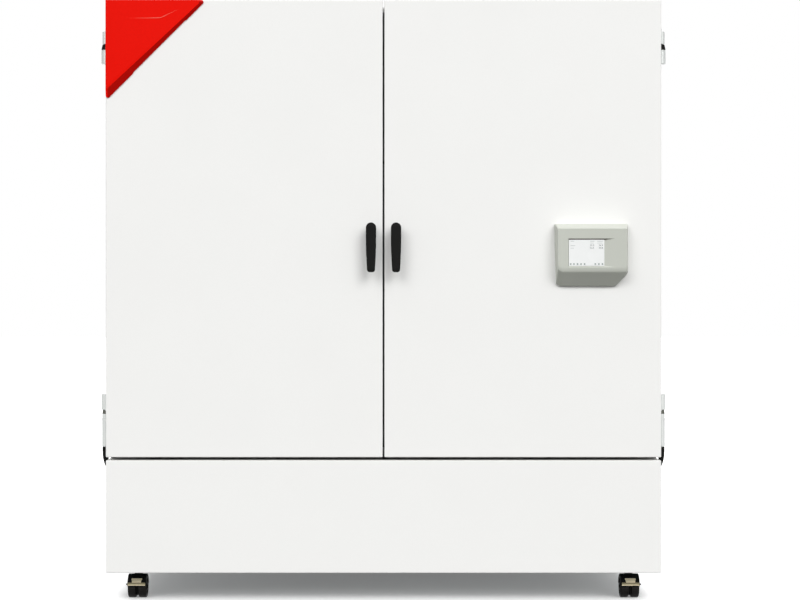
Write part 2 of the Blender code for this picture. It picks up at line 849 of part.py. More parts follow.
def door_handle(side, name, pivot):
    """A lever handle with its hub and spindle, which turns about the spindle."""
    x = side * HANDLE_X
    front = FRONT_Y - HANDLE_REACH
    back = front + LEVER_T
    layers = (
        (front, LEVER_EDGE),
        (front + LEVER_EDGE / 3, LEVER_EDGE / 3),
        (front + LEVER_EDGE, 0.0),
        (back - LEVER_EDGE / 2, 0.0),
        (back, LEVER_EDGE / 2),
    )
    sections = []
    for y, inset in layers:
        sections.append([(px, y, pz) for px, pz in lever_outline(x, HANDLE_Z, inset)])
    lever = loft(f"door_handle_{name}", sections, BLACK, pivot)
    neck = HANDLE_REACH - LEVER_T
    hub = turned(
        f"join_handle_hub_{name}",
        [
            (0.0, LEVER_EDGE),
            (HUB_HEAD_R, LEVER_EDGE),
            (HUB_NECK_R, -neck / 2),
            (HUB_R, LEVER_EDGE - neck),
            (HUB_R, CLEAR - neck),
            (0.0, CLEAR - neck),
        ],
        (x, back, HANDLE_Z),
        (0, -1, 0),
        BLACK,
    )
    spindle = rod(
        f"join_spindle_{name}",
        (x, FRONT_Y - LEVER_EDGE, HANDLE_Z),
        (x, FRONT_Y + SPINDLE_L, HANDLE_Z),
        SPINDLE_R,
        sides=FINE_SIDES,
    )
    join(lever, hub, spindle)


def corner_cover(pivot):
    """The three-cornered cover on the left door's upper outer corner, with a bevel wider at its foot."""
    tip = COVER_TIP_R
    sharp = COVER_LEG + tip * math.sqrt(2)
    reach = tip * math.tan(math.radians(67.5))

    def outline(high_bevel, low_bevel):
        left, top = -HALF_W, DOOR_TOP
        far_x = left + sharp - high_bevel * math.sqrt(2)
        low_z = top - sharp + low_bevel * math.sqrt(2)
        points = [(left, top)]
        points += arc((left + tip, low_z + reach), tip, 180, 315, 3)
        points += arc((far_x - reach, top - tip), tip, -45, 90, 3)
        return points

    back = outline(0.0, 0.0)
    front = outline(COVER_BEVEL_HIGH, COVER_BEVEL_LOW)
    y0, y1, y2 = FRONT_Y - CLEAR, FRONT_Y - CLEAR - COVER_T / 3, FRONT_Y - CLEAR - COVER_T
    sections = [
        [(x, y0, z) for x, z in back],
        [(x, y1, z) for x, z in back],
        [(x, y2, z) for x, z in front],
    ]
    loft("corner_cover", sections, RED, pivot)


def controller_outline():
    """The controller seen from the front, as shares of its box from its lower left corner."""
    w, h = CONTROL_W, CONTROL_H
    r, s, c, cr = CONTROL_CORNER_R, CONTROL_SMALL_R, CONTROL_CHAMFER, CONTROL_CHAMFER_R
    points = arc((s, h - s), s, 90, 180, 2)
    points += arc((r, r), r, 180, 270, 4)
    points += arc((w - c, cr), cr, 270, 315, 3)
    points += arc((w - cr, c), cr, 315, 360, 3)
    points += arc((w - s, h - s), s, 0, 90, 2)
    return points


def controller_face(x0, z0, x1, z1, y, lean=0.0):
    """The outline fitted between two corners at one depth, its left side drawn in by lean at the foot."""
    points = []
    for px, pz in controller_outline():
        u, v = px / CONTROL_W, pz / CONTROL_H
        x = x0 + (x1 - x0) * u + lean * (1 - u) * (1 - v)
        points.append((x, y, z0 + (z1 - z0) * v))
    return points


def controller(pivot):
    """The controller's moulded housing and its screen, on the right door."""
    right, top = HALF_W - CONTROL_SIDE_INSET, DOOR_TOP - CONTROL_TOP_DROP
    left, low = right - CONTROL_W, top - CONTROL_H
    back = FRONT_Y - CLEAR
    front = back - CONTROL_DEPTH
    face = (left + CONTROL_FACE_LEFT, low + CONTROL_FACE_BOTTOM)
    face += (right - CONTROL_FACE_RIGHT, top - CONTROL_FACE_TOP)
    housing = loft(
        "controller_housing",
        [
            controller_face(left, low, right, top, back, CONTROL_LEAN),
            controller_face(left, low, right, top, back - CONTROL_RIM, CONTROL_LEAN),
            controller_face(*face, front),
        ],
        CONTROL_GREY,
        pivot,
    )
    x0, z1 = left + SCREEN_LEFT, top - SCREEN_DROP
    x1, z0 = x0 + SCREEN_W, z1 - SCREEN_H
    floor, lip = front + SCREEN_SINK, SCREEN_LIP

    def rectangle(ax, az, bx, bz, y):
        return [(ax, y, az), (bx, y, az), (bx, y, bz), (ax, y, bz)]

    recess = loft(
        "cut_screen_recess",
        [
            rectangle(x0, z0, x1, z1, floor),
            rectangle(x0 - lip / 2, z0 - lip, x1 + SCREEN_RAMP, z1 + lip, front - CLEAR),
            rectangle(x0 - lip / 2, z0 - lip, x1 + SCREEN_RAMP, z1 + lip, front - CONTROL_RIM),
        ],
        CONTROL_GREY,
    )
    cut(housing, recess)
    box(
        "controller_screen",
        (x0 + CLEAR, floor - CLEAR - SCREEN_T, z0 + CLEAR),
        (x1 - CLEAR, floor - CLEAR, z1 - CLEAR),
        SCREEN_GLASS,
        pivot,
    )


# Hinges


def hinge_leaf(side, name, bottom, height, radius, pivot):
    """A door's half of a hinge: the strap on the door's edge and the knuckle over the pin."""
    axis_x = side * HINGE_X
    top = bottom + height
    leaf = rod(
        name,
        (axis_x, HINGE_Y, bottom),
        (axis_x, HINGE_Y, top),
        radius,
        HINGE_METAL,
        pivot=pivot,
    )
    inner = HALF_W + CLEAR
    strap_y = (HINGE_Y - STRAP_L, HINGE_Y)
    strap = side_box(side, f"join_strap_{name}", inner, inner + STRAP_T, strap_y, (bottom, top))
    neck_far = HINGE_X - PIN_R - STRAP_T / 2
    neck_y = (HINGE_Y - KNUCKLE_R + CLEAR, HINGE_Y)
    neck = side_box(side, f"join_neck_{name}", inner, neck_far, neck_y, (bottom, top))
    bore = rod(
        f"cut_pin_bore_{name}",
        (axis_x, HINGE_Y, bottom - PIN_R),
        (axis_x, HINGE_Y, top - STRAP_T),
        bore_radius(PIN_R, FINE_SIDES),
        sides=FINE_SIDES,
    )
    join(leaf, strap, neck)
    cut(leaf, bore)


def hinge_bracket(side, name, top, height, radius, collar_h, leaf_h, collar_r):
    """The cabinet's half of a hinge: plate, sleeve and pin, with a stepped collar where it has one."""
    axis_x = side * HINGE_X
    bottom = top - height
    bracket = rod(
        name,
        (axis_x, HINGE_Y, bottom),
        (axis_x, HINGE_Y, top),
        radius,
        HINGE_METAL,
    )
    inner = HALF_W + CLEAR
    plate_y = (HINGE_Y, HINGE_Y + BRACKET_L)
    plate = side_box(side, f"join_plate_{name}", inner, inner + STRAP_T, plate_y, (bottom, top))
    pin_top = top + collar_h + leaf_h - 2 * STRAP_T
    pin = rod(
        f"join_pin_{name}",
        (axis_x, HINGE_Y, top - STRAP_T),
        (axis_x, HINGE_Y, pin_top),
        PIN_R,
        sides=FINE_SIDES,
    )
    join(bracket, plate, pin)
    if collar_r:
        collar = rod(
            f"join_collar_{name}",
            (axis_x, HINGE_Y, top - STRAP_T),
            (axis_x, HINGE_Y, top + collar_h - CLEAR),
            collar_r,
        )
        join(bracket, collar)


def hinge_collar(side, name, bottom, height):
    """The black bush between the two halves of an upper hinge."""
    axis_x = side * HINGE_X
    collar = rod(
        name,
        (axis_x, HINGE_Y, bottom + CLEAR),
        (axis_x, HINGE_Y, bottom + height - CLEAR),
        SLEEVE_R,
        BLACK,
        end_radius=KNUCKLE_R,
    )
    bore = rod(
        f"cut_{name}",
        (axis_x, HINGE_Y, bottom - PIN_R),
        (axis_x, HINGE_Y, bottom + height + PIN_R),
        bore_radius(PIN_R, FINE_SIDES),
        sides=FINE_SIDES,
    )
    cut(collar, bore)


def hinge_tail(side, name, top):
    """The black cap under a lower hinge: a horn that bends to the wall, and a tongue under the door."""
    sections = []
    for share in (0.0, 0.5, 0.8, 1.0):
        bend = share**3
        radius = TAIL_R + (TAIL_TIP_R - TAIL_R) * bend
        x = side * (HINGE_X - TAIL_TIP_R * bend)
        circle = arc((x, HINGE_Y), radius, 0, 360, FINE_SIDES)[:-1]
        z = top - CLEAR - (TAIL_L - CLEAR) * share
        sections.append([(px, py, z) for px, py in circle])
    tail = loft(name, sections, BLACK)
    middle = PLINTH_TOP + PLINTH_DOOR_GAP / 2
    tongue = side_box(
        side,
        f"join_tongue_{name}",
        HALF_W - TONGUE_REACH,
        HALF_W + TONGUE_OUT,
        (HINGE_Y - TONGUE_FRONT, HINGE_Y + TONGUE_BACK),
        (middle - TONGUE_T / 2, middle + TONGUE_T / 2),
    )
    join(tail, tongue)


def hinges(side, name, pivot):
    """The upper and the lower hinge of one door."""
    leaf_low = DOOR_TOP - UPPER_HINGE_DROP - UPPER_LEAF_H
    bracket_top = leaf_low - UPPER_COLLAR_H
    hinge_leaf(side, f"hinge_leaf_upper_{name}", leaf_low, UPPER_LEAF_H, KNUCKLE_R, pivot)
    hinge_collar(side, f"hinge_collar_{name}", bracket_top, UPPER_COLLAR_H)
    bracket = f"hinge_bracket_upper_{name}"
    sizes = (UPPER_BRACKET_H, SLEEVE_R, UPPER_COLLAR_H, UPPER_LEAF_H, 0.0)
    hinge_bracket(side, bracket, bracket_top, *sizes)
    leaf_low = DOOR_BOTTOM + LOWER_HINGE_RISE - LOWER_LEAF_H
    bracket_top = leaf_low - LOWER_COLLAR_H
    hinge_leaf(side, f"hinge_leaf_lower_{name}", leaf_low, LOWER_LEAF_H, SLEEVE_R, pivot)
    bracket = f"hinge_bracket_lower_{name}"
    sizes = (LOWER_BRACKET_H, LOWER_SLEEVE_R, LOWER_COLLAR_H, LOWER_LEAF_H, LOWER_COLLAR_R)
    hinge_bracket(side, bracket, bracket_top, *sizes)
    hinge_tail(side, f"hinge_tail_{name}", bracket_top - LOWER_BRACKET_H)


def doors():
    """Both doors with all that swings with them."""
    for name, side in SIDES.items():
        pivot = pivot_empty(f"door_{name}_axis", (side * HINGE_X, HINGE_Y, DOOR_BOTTOM))
        door_shell(side, name, pivot)
        door_insulation(side, name, pivot)
        door_liner(side, name, pivot)
        door_gasket(side, name, pivot)
        lock_case(side, name, pivot)
        hinges(side, name, pivot)
        spindle = pivot_empty(f"handle_{name}_axis", (side * HANDLE_X, FRONT_Y, HANDLE_Z), pivot)
        door_handle(side, name, spindle)
        if side < 0:
            corner_cover(pivot)
        else:
            controller(pivot)


# Casters


def wheel_profile():
    """The pair of treads and their axle from one nub's end to the other's, as (radius, height)."""
    inner = WEB_T / 2 + WEB_GAP
    outer = inner + TREAD_W
    half = [
        (0.0, outer + AXLE_NUB),
        (AXLE_R, outer + AXLE_NUB),
        (AXLE_R, outer),
        (HUB_CAP_R, outer),
        (HUB_CAP_R, outer - WHEEL_DISH),
        (WHEEL_R - 2 * TREAD_ROUND, outer - WHEEL_DISH),
        (WHEEL_R - TREAD_ROUND, outer),
        (WHEEL_R, outer - TREAD_ROUND),
        (WHEEL_R, inner + TREAD_ROUND),
        (WHEEL_R - TREAD_ROUND, inner),
        (AXLE_R, inner),
    ]
    return half + [(r, -h) for r, h in reversed(half)]


def caster(name, x, y):
    """One twin-wheel caster: fork with hood and stem, and the pair of wheels on its axle."""
    swivel = pivot_empty(f"swivel_{name}_axis", (x, y, CASTER_H))
    axle_y = y - CASTER_TRAIL
    half_w = WEB_T / 2 + WEB_GAP + TREAD_W
    fork = rod(
        f"caster_fork_{name}",
        (x - half_w, axle_y, AXLE_Z),
        (x + half_w, axle_y, AXLE_Z),
        HOOD_R,
        BLACK,
        LARGE_SIDES,
        pivot=swivel,
    )
    skirt = AXLE_Z + HOOD_SKIRT
    below = box(
        f"cut_hood_below_{name}",
        (x - 2 * half_w, axle_y - 2 * HOOD_R, AXLE_Z - 2 * HOOD_R),
        (x + 2 * half_w, axle_y + 2 * HOOD_R, skirt),
    )
    disc_top = CASTER_H - CLEAR
    disc_low = disc_top - SWIVEL_T
    neck = rod(f"join_neck_{name}", (x, y, skirt), (x, y, disc_low + CLEAR), NECK_R)
    disc = rod(f"join_disc_{name}", (x, y, disc_low), (x, y, disc_top), SWIVEL_R)
    stem_low = disc_top - SWIVEL_T / 2
    stem = rod(f"join_stem_{name}", (x, y, stem_low), (x, y, disc_top + STEM_L), STEM_R)
    clearance = bmesh.new()
    for sign in (-1, 1):
        start = (x + sign * WEB_T / 2, axle_y, AXLE_Z)
        end = (x + sign * 2 * half_w, axle_y, AXLE_Z)
        add_rod(clearance, start, end, WHEEL_R + HOOD_GAP, LARGE_SIDES)
    origin = (0, 0, 0)
    clearance_name = f"cut_wheel_room_{name}"
    mesh = finish_mesh(clearance, clearance_name, origin)
    wheel_room = add_object(clearance_name, mesh, STEEL, origin, None)
    web_half = 2.5 * AXLE_R
    web = box(
        f"join_web_{name}",
        (x - WEB_T / 2, axle_y - web_half, AXLE_Z - 2 * AXLE_R),
        (x + WEB_T / 2, axle_y + web_half, skirt + AXLE_R),
    )
    bore = rod(
        f"cut_axle_bore_{name}",
        (x - WEB_T, axle_y, AXLE_Z),
        (x + WEB_T, axle_y, AXLE_Z),
        bore_radius(AXLE_R, FINE_SIDES),
        sides=FINE_SIDES,
    )
    cut(fork, below)
    join(fork, neck, disc, stem)
    cut(fork, wheel_room)
    join(fork, web)
    cut(fork, bore)
    axle = pivot_empty(f"axle_{name}_axis", (x, axle_y, AXLE_Z), swivel)
    turned(
        f"caster_wheels_{name}",
        wheel_profile(),
        (x, axle_y, AXLE_Z),
        (1, 0, 0),
        TREAD,
        WHEEL_SIDES,
        axle,
    )
    if name.startswith("front"):
        brake_pedal(name, x, axle_y, swivel)


def brake_pedal(name, x, axle_y, swivel):
    """The bent brake pedal in front of a caster's hood, which lifts about its upper edge."""
    reach = HOOD_R + CLEAR + PEDAL_T / 2
    y = axle_y - reach * math.sin(PEDAL_ANGLE)
    z = AXLE_Z + reach * math.cos(PEDAL_ANGLE)
    pivot = pivot_empty(f"pedal_{name}_axis", (x, y, z), swivel)
    end_y, end_z = y - PEDAL_REACH, z - PEDAL_FALL
    half = PEDAL_T / 2
    outline = [
        (y, z - half),
        (y - half, z + half),
        (end_y - half, end_z + half),
        (end_y - half, end_z - PEDAL_BAR_H),
        (end_y + half, end_z - PEDAL_BAR_H),
        (end_y + half, end_z - half),
    ]
    sections = []
    for px in (x - PEDAL_W / 2, x + PEDAL_W / 2):
        sections.append([(px, py, pz) for py, pz in outline])
    loft(f"brake_pedal_{name}", sections, STEEL, pivot)


# Chamber fittings


def shelf_levels():
    """The heights of the shelves' top faces."""
    step = (CHAMBER_HIGH - CHAMBER_LOW) / (SHELF_COUNT + 1)
    return [CHAMBER_LOW + step * (i + 1) for i in range(SHELF_COUNT)]


def shelf_rack(side, name):
    """Two slotted uprights with a rail under each shelf."""
    outer = CHAMBER_X - CLEAR
    low, high = CHAMBER_LOW + CLEAR, CHAMBER_HIGH - RACK_HEAD
    front, rear = FRAME_Y + RACK_FRONT, DUCT_FRONT - RACK_REAR
    ends = ((front - RACK_W, front), (rear, rear + RACK_W))
    rack = side_box(
        side,
        f"shelf_rack_{name}",
        outer - RACK_T,
        outer,
        ends[0],
        (low, high),
        STAINLESS,
    )
    second = side_box(side, f"join_upright_{name}", outer - RACK_T, outer, ends[1], (low, high))
    rails = []
    low_x, high_x = sorted((side * (outer - RACK_T / 2), side * (outer - RACK_T - RAIL_W)))
    for level in shelf_levels():
        top = level - SHEET - CLEAR
        rails.append(((low_x, front - RACK_W / 2, top - RAIL_T), (high_x, rear + RACK_W / 2, top)))
    join(rack, boxes(f"join_rails_{name}", rails), second)
    slots = []
    count = int((high - low) / RACK_SLOT_PITCH)
    for z in spread(low, high, count):
        for end in ends:
            middle = sum(end) / 2
            near = side * (outer - 2 * RACK_T)
            far = side * (outer - RACK_T / 2)
            corner = (min(near, far), middle - RACK_SLOT_W / 2, z - RACK_SLOT_H / 2)
            slots.append((corner, (max(near, far), middle + RACK_SLOT_W / 2, z + RACK_SLOT_H / 2)))
    rail_zone = RAIL_T + RACK_SLOT_H
    levels = shelf_levels()
    slots = [s for s in slots if all(abs((s[0][2] + s[1][2]) / 2 - level) > rail_zone for level in levels)]
    cut(rack, boxes(f"cut_rack_slots_{name}", slots))


def shelf(name, level):
    """A perforated shelf with turned-down front and back edges."""
    half = CHAMBER_X - CLEAR - RACK_T - RAIL_W + SHELF_SEAT
    front, back = FRAME_Y + SHELF_FRONT, DUCT_FRONT - SHELF_REAR
    plate = box(name, (-half, front, level - SHELF_LIP), (half, back, level), STAINLESS)
    under = box(
        f"cut_under_{name}",
        (-half - SHEET, front + SHEET, level - 2 * SHELF_LIP),
        (half + SHEET, back - SHEET, level - SHEET),
    )
    cut(plate, under)
    slots = []
    slot_l = (2 * half - 2 * RAIL_W) / SHELF_SLOTS_X * SHELF_SLOT_SHARE
    slot_w = (back - front) / SHELF_SLOTS_Y * SHELF_SLOT_SHARE
    for x in spread(-half + RAIL_W, half - RAIL_W, SHELF_SLOTS_X):
        for y in spread(front, back, SHELF_SLOTS_Y):
            low = (x - slot_l / 2, y - slot_w / 2, level - 2 * SHEET)
            slots.append((low, (x + slot_l / 2, y + slot_w / 2, level + SHEET)))
    cut(plate, boxes(f"cut_slots_{name}", slots))


def air_duct_panel():
    """The pan in front of the chamber's rear wall, with its outlets at the sides and the fan's inlet."""
    low, high = CHAMBER_LOW + DUCT_FLOOR_GAP, CHAMBER_HIGH - DUCT_TOP_GAP
    back = CHAMBER_BACK - CLEAR
    panel = box(
        "air_duct_panel",
        (-DUCT_HALF_W, DUCT_FRONT, low),
        (DUCT_HALF_W, back, high),
        STAINLESS,
    )
    inner = DUCT_HALF_W - SHEET
    hollow = box(
        "cut_duct_hollow",
        (-inner, DUCT_FRONT + SHEET, low - SHEET),
        (inner, back + SHEET, high + SHEET),
    )
    inlet = rod(
        "cut_fan_inlet",
        (0, DUCT_FRONT - SHEET, FAN_Z),
        (0, DUCT_FRONT + 2 * SHEET, FAN_Z),
        FAN_INLET_R,
        sides=LARGE_SIDES,
    )
    slots = []
    for side in SIDES.values():
        edge = inner - DUCT_SLOT_EDGE
        near, far = sorted((side * edge, side * (edge - DUCT_SLOT_W)))
        for z in spread(low, high, DUCT_SLOTS):
            corner = (near, DUCT_FRONT - SHEET, z - DUCT_SLOT_H / 2)
            slots.append((corner, (far, DUCT_FRONT + 2 * SHEET, z + DUCT_SLOT_H / 2)))
    cut(panel, hollow, inlet, boxes("cut_duct_slots", slots))


def bladed_wheel(name, centre, radius, eye, depth, blades, finish, pitch, pivot):
    """A fan wheel about the Y axis: hub, rear disc and blades that lean by pitch."""
    x, y, z = centre
    wheel = rod(
        name,
        (x, y, z),
        (x, y - FAN_DISC_T, z),
        radius if eye else FAN_HUB_R,
        finish,
        LARGE_SIDES,
        pivot=pivot,
    )
    hub = rod(f"join_hub_{name}", (x, y, z), (x, y - depth, z), FAN_HUB_R)
    bm = bmesh.new()
    inner = eye or FAN_HUB_R - FAN_BLADE_ROOT
    half = FAN_BLADE_T / 2
    for i in range(blades):
        blade = add_box(bm, (inner, -depth, -half), (radius - FAN_BLADE_T, 0, half))
        middle = ((inner + radius) / 2, -depth / 2, 0)
        lean = Matrix.Rotation(pitch, 3, "Y" if eye else "X")
        turn = Matrix.Rotation(2 * math.pi * i / blades, 3, "Y")
        bmesh.ops.rotate(bm, cent=middle, matrix=lean, verts=blade)
        bmesh.ops.rotate(bm, cent=(0, 0, 0), matrix=turn, verts=blade)
    bmesh.ops.translate(bm, vec=(x, y - FAN_DISC_T / 4, z), verts=bm.verts)
    mesh = finish_mesh(bm, f"join_blades_{name}", (0, 0, 0))
    join(wheel, hub, add_object(f"join_blades_{name}", mesh, finish, (0, 0, 0), None))
    bore = rod(
        f"cut_shaft_bore_{name}",
        (x, y + depth, z),
        (x, y - 2 * depth, z),
        bore_radius(SHAFT_R, FINE_SIDES),
        sides=FINE_SIDES,
    )
    cut(wheel, bore)


def air_system():
    """Circulation fan and motor, evaporator and heater behind the duct panel."""
    wall = CHAMBER_BACK - CLEAR
    motor_front = wall - MOTOR_L
    shaft_front = motor_front - CLEAR - FAN_D - CLEAR
    motor = rod("fan_motor", (0, wall, FAN_Z), (0, motor_front, FAN_Z), MOTOR_R, CAST, LARGE_SIDES)
    shaft_back = (0, wall - SHEET, FAN_Z)
    join(motor, rod("join_shaft", shaft_back, (0, shaft_front, FAN_Z), SHAFT_R, sides=FINE_SIDES))
    pivot = pivot_empty("circulation_fan_axis", (0, motor_front, FAN_Z))
    centre = (0, motor_front - 2 * CLEAR, FAN_Z)
    lean = math.radians(35)
    bladed_wheel("circulation_fan", centre, FAN_R, FAN_EYE_R, FAN_D, FAN_BLADES, FINNED, lean, pivot)
    low = CHAMBER_LOW + EVAPORATOR_RISE
    finned_block(
        "evaporator",
        (-EVAPORATOR_W / 2, wall - EVAPORATOR_T, low),
        (EVAPORATOR_W / 2, wall, low + EVAPORATOR_H),
        EVAPORATOR_FINS,
    )
    heater_rod(wall)


def finned_block(name, low, high, fins):
    """A heat exchanger: a core with upright fins cut into its front."""
    block = box(name, low, high, FINNED)
    width, depth = high[0] - low[0], high[1] - low[1]
    pitch = width / fins
    half_gap = pitch * FIN_GAP_SHARE / 2
    core_y = high[1] - depth * FIN_CORE_SHARE
    grooves = []
    for x in spread(low[0] + pitch, high[0] - pitch, fins - 2):
        corner = (x - half_gap, low[1] - depth, low[2] + pitch / 2)
        grooves.append((corner, (x + half_gap, core_y, high[2] - pitch / 2)))
    cut(block, boxes(f"cut_grooves_{name}", grooves))
    return block


def heater_rod(wall):
    """The bent heating rod, both ends on the chamber's rear wall."""
    low, high = CHAMBER_LOW + HEATER_RISE, CHAMBER_LOW + HEATER_RISE + HEATER_H
    y = wall - HEATER_OFF
    half, bend = HEATER_W / 2, HEATER_BEND
    route = [(-half, wall, low), (-half, y + bend, low), (-half + bend, y, low)]
    route += [(half - bend, y, low), (half, y, low + bend)]
    route += [(half, y, high - bend), (half - bend, y, high)]
    route += [(-half + bend, y, high), (-half, y + bend, high), (-half, wall, high)]
    curve = bpy.data.curves.new("heater_rod", "CURVE")
    curve.dimensions = "3D"
    curve.bevel_depth = HEATER_R
    curve.bevel_resolution = 1
    curve.use_fill_caps = True
    spline = curve.splines.new("POLY")
    spline.points.add(len(route) - 1)
    for point, place in zip(spline.points, route):
        point.co = (*place, 1.0)
    curve.materials.append(STAINLESS)
    PARTS.objects.link(bpy.data.objects.new("heater_rod", curve))


# Machine compartment


def compressor_profile():
    """The sealed shell as (radius, height): domed crown, the weld seam's rim and the rounded base."""
    r, low = COMPRESSOR_R, COMPRESSOR_SEAM_H
    top = low + COMPRESSOR_SEAM_T
    crown = []
    for degrees in (90, 65, 40, 15, 0):
        turn = math.radians(degrees)
        crown.append((r * math.cos(turn), top + (COMPRESSOR_H - top) * math.sin(turn)))
    crown[0] = (0.0, COMPRESSOR_H)
    seam = [(r + COMPRESSOR_SEAM_OUT, top), (r + COMPRESSOR_SEAM_OUT, low), (r, low)]
    base = arc((r - COMPRESSOR_BASE_ROUND, COMPRESSOR_BASE_ROUND), COMPRESSOR_BASE_ROUND, 0, -90, 2)
    return crown + seam + base + [(0.0, 0.0)]


def compressor():
    """The sealed compressor on its foot plate and feet."""
    x, y = COMPRESSOR_X, BACK_Y - COMPRESSOR_BACK
    base = TRAY_FLOOR + CLEAR + FOOT_H
    pot = turned("compressor", compressor_profile(), (x, y, base), (0, 0, 1), CAST, LARGE_SIDES)
    reach, half = FOOT_PLATE_W / 2, FOOT_PLATE_D / 2
    plate = box(
        "join_foot_plate",
        (x - reach, y - half, base - FOOT_PLATE_T / 2),
        (x + reach, y + half, base + FOOT_PLATE_T / 2),
    )
    feet = bmesh.new()
    for sx in (-1, 1):
        for sy in (-1, 1):
            fx, fy = x + sx * (reach - FOOT_INSET), y + sy * (half - FOOT_INSET)
            add_rod(feet, (fx, fy, TRAY_FLOOR + CLEAR), (fx, fy, base), FOOT_R, FINE_SIDES)
    mesh = finish_mesh(feet, "join_feet", (0, 0, 0))
    join(pot, plate, add_object("join_feet", mesh, CAST, (0, 0, 0), None))


def condenser():
    """The condenser on the tray, with the bracket and motor of its fan, and the fan."""
    low_z = TRAY_FLOOR + CLEAR
    back = REAR_SHEET_Y - CONDENSER_BACK
    front = back - CONDENSER_T
    left = CONDENSER_X - CONDENSER_W / 2
    right = CONDENSER_X + CONDENSER_W / 2
    block = finned_block(
        "condenser",
        (left, front, low_z),
        (right, back, low_z + CONDENSER_H),
        CONDENSER_FINS,
    )
    bar_y = front - CONDENSER_MOTOR_L - CONDENSER_FAN_D - CONDENSER_FAN_GAP
    middle_z = low_z + CONDENSER_H / 2
    bar = BRACKET_BAR
    arms = []
    for side_x in (left + bar, right - bar):
        corner = (side_x - bar / 2, bar_y, middle_z - bar / 2)
        arms.append((corner, (side_x + bar / 2, front + bar / 2, middle_z + bar / 2)))
    beam = box(
        "join_fan_beam",
        (left + bar / 2, bar_y - bar / 2, middle_z - bar / 2 + SHEET / 3),
        (right - bar / 2, bar_y + bar / 2, middle_z + bar / 2 - SHEET / 3),
    )
    motor_end = bar_y + CONDENSER_MOTOR_L
    motor = rod(
        "join_condenser_motor",
        (CONDENSER_X, bar_y - bar, middle_z),
        (CONDENSER_X, motor_end, middle_z),
        CONDENSER_MOTOR_R,
    )
    shaft = rod(
        "join_condenser_shaft",
        (CONDENSER_X, bar_y, middle_z),
        (CONDENSER_X, motor_end + 2 * CLEAR + CONDENSER_FAN_D, middle_z),
        SHAFT_R,
        sides=FINE_SIDES,
    )
    join(block, boxes("join_fan_arms", arms), beam, motor, shaft)
    pivot = pivot_empty("condenser_fan_axis", (CONDENSER_X, motor_end, middle_z))
    centre = (CONDENSER_X, motor_end + 2 * CLEAR + CONDENSER_FAN_D, middle_z)
    lean = math.radians(40)
    blades, depth = CONDENSER_FAN_BLADES, CONDENSER_FAN_D
    bladed_wheel("condenser_fan", centre, CONDENSER_FAN_R, 0.0, depth, blades, BLACK, lean, pivot)


def control_box():
    """The box of the power and control electronics, with air slots in its inner side."""
    low_z = TRAY_FLOOR + CLEAR
    y = FRONT_Y + CONTROL_BOX_FRONT
    left, right = CONTROL_BOX_X - CONTROL_BOX_W / 2, CONTROL_BOX_X + CONTROL_BOX_W / 2
    high = (right, y + CONTROL_BOX_D, low_z + CONTROL_BOX_H)
    case = box("control_box", (left, y, low_z), high, STEEL)
    hollow = box(
        "cut_box_hollow",
        (left + SHEET, y + SHEET, low_z + SHEET),
        (right - SHEET, y + CONTROL_BOX_D - SHEET, low_z + CONTROL_BOX_H - SHEET),
    )
    slots = []
    slot_low = low_z + BOX_SLOT_RISE
    for slot_y in spread(y, y + CONTROL_BOX_D, BOX_SLOTS):
        corner = (left - SHEET, slot_y - LOUVRE_H / 2, slot_low)
        slots.append((corner, (left + 2 * SHEET, slot_y + LOUVRE_H / 2, slot_low + BOX_SLOT_H)))
    cut(case, hollow, boxes("cut_box_slots", slots))


def build():
    """Builds every sub-part of the incubator."""
    outer_housing()
    plinth_panel()
    rear_panel()
    mains_inlet()
    insulation_body()
    inner_chamber()
    front_frame()
    base_frame()
    doors()
    for name, x, y in caster_places():
        caster(name, x, y)
    for name, side in SIDES.items():
        shelf_rack(side, name)
    for name, level in zip(("lower", "middle", "upper"), shelf_levels()):
        shelf(f"shelf_{name}", level)
    air_duct_panel()
    air_system()
    compressor()
    condenser()
    control_box()


build()
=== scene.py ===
"""Looks of a two-door refrigerated incubator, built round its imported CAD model.

Each sub-assembly is a class that takes its places from the CAD nodes, builds the pieces that are seen and
gives them their finishes. Lengths are in metres, +Z is up and the front looks towards -Y. Tables of
sizes in millimetres pass through mm() or outline_at().
"""

from __future__ import annotations

import json
import logging
import math
from collections.abc import Callable, Iterable, Sequence
from dataclasses import dataclass, field, replace
from enum import Enum

import bmesh
import bpy
from mathutils import Matrix, Vector


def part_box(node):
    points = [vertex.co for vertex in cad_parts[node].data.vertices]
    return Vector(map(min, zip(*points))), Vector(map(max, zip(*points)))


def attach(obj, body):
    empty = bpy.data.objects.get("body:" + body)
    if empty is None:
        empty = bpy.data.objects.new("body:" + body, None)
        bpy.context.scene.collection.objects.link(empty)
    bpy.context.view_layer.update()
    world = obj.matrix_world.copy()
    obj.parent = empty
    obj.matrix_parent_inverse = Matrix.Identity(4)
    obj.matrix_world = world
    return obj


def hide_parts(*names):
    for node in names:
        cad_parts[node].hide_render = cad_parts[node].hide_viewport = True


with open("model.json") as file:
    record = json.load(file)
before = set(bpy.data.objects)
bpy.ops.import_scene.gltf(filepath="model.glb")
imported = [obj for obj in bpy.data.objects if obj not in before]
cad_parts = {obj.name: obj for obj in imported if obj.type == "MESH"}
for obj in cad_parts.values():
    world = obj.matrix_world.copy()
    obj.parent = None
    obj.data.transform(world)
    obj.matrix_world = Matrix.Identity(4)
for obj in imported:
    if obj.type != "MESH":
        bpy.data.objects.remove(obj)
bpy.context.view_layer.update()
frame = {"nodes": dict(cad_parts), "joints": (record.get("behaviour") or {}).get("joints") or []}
MM = 0.001
SHEET = 1.5 * MM
X, Y, Z = (1, 0, 0), (0, 1, 0), (0, 0, 1)
LOG = logging.getLogger("incubator")

Point = Sequence[float]
Outline = list[tuple[float, float]]
Shape = bpy.types.Object
Socket = bpy.types.NodeSocket
Tree = bpy.types.NodeTree


def mm(*points: Point) -> list[tuple[float, ...]]:
    """Points given in millimetres, in metres."""
    return [tuple(value * MM for value in point) for point in points]


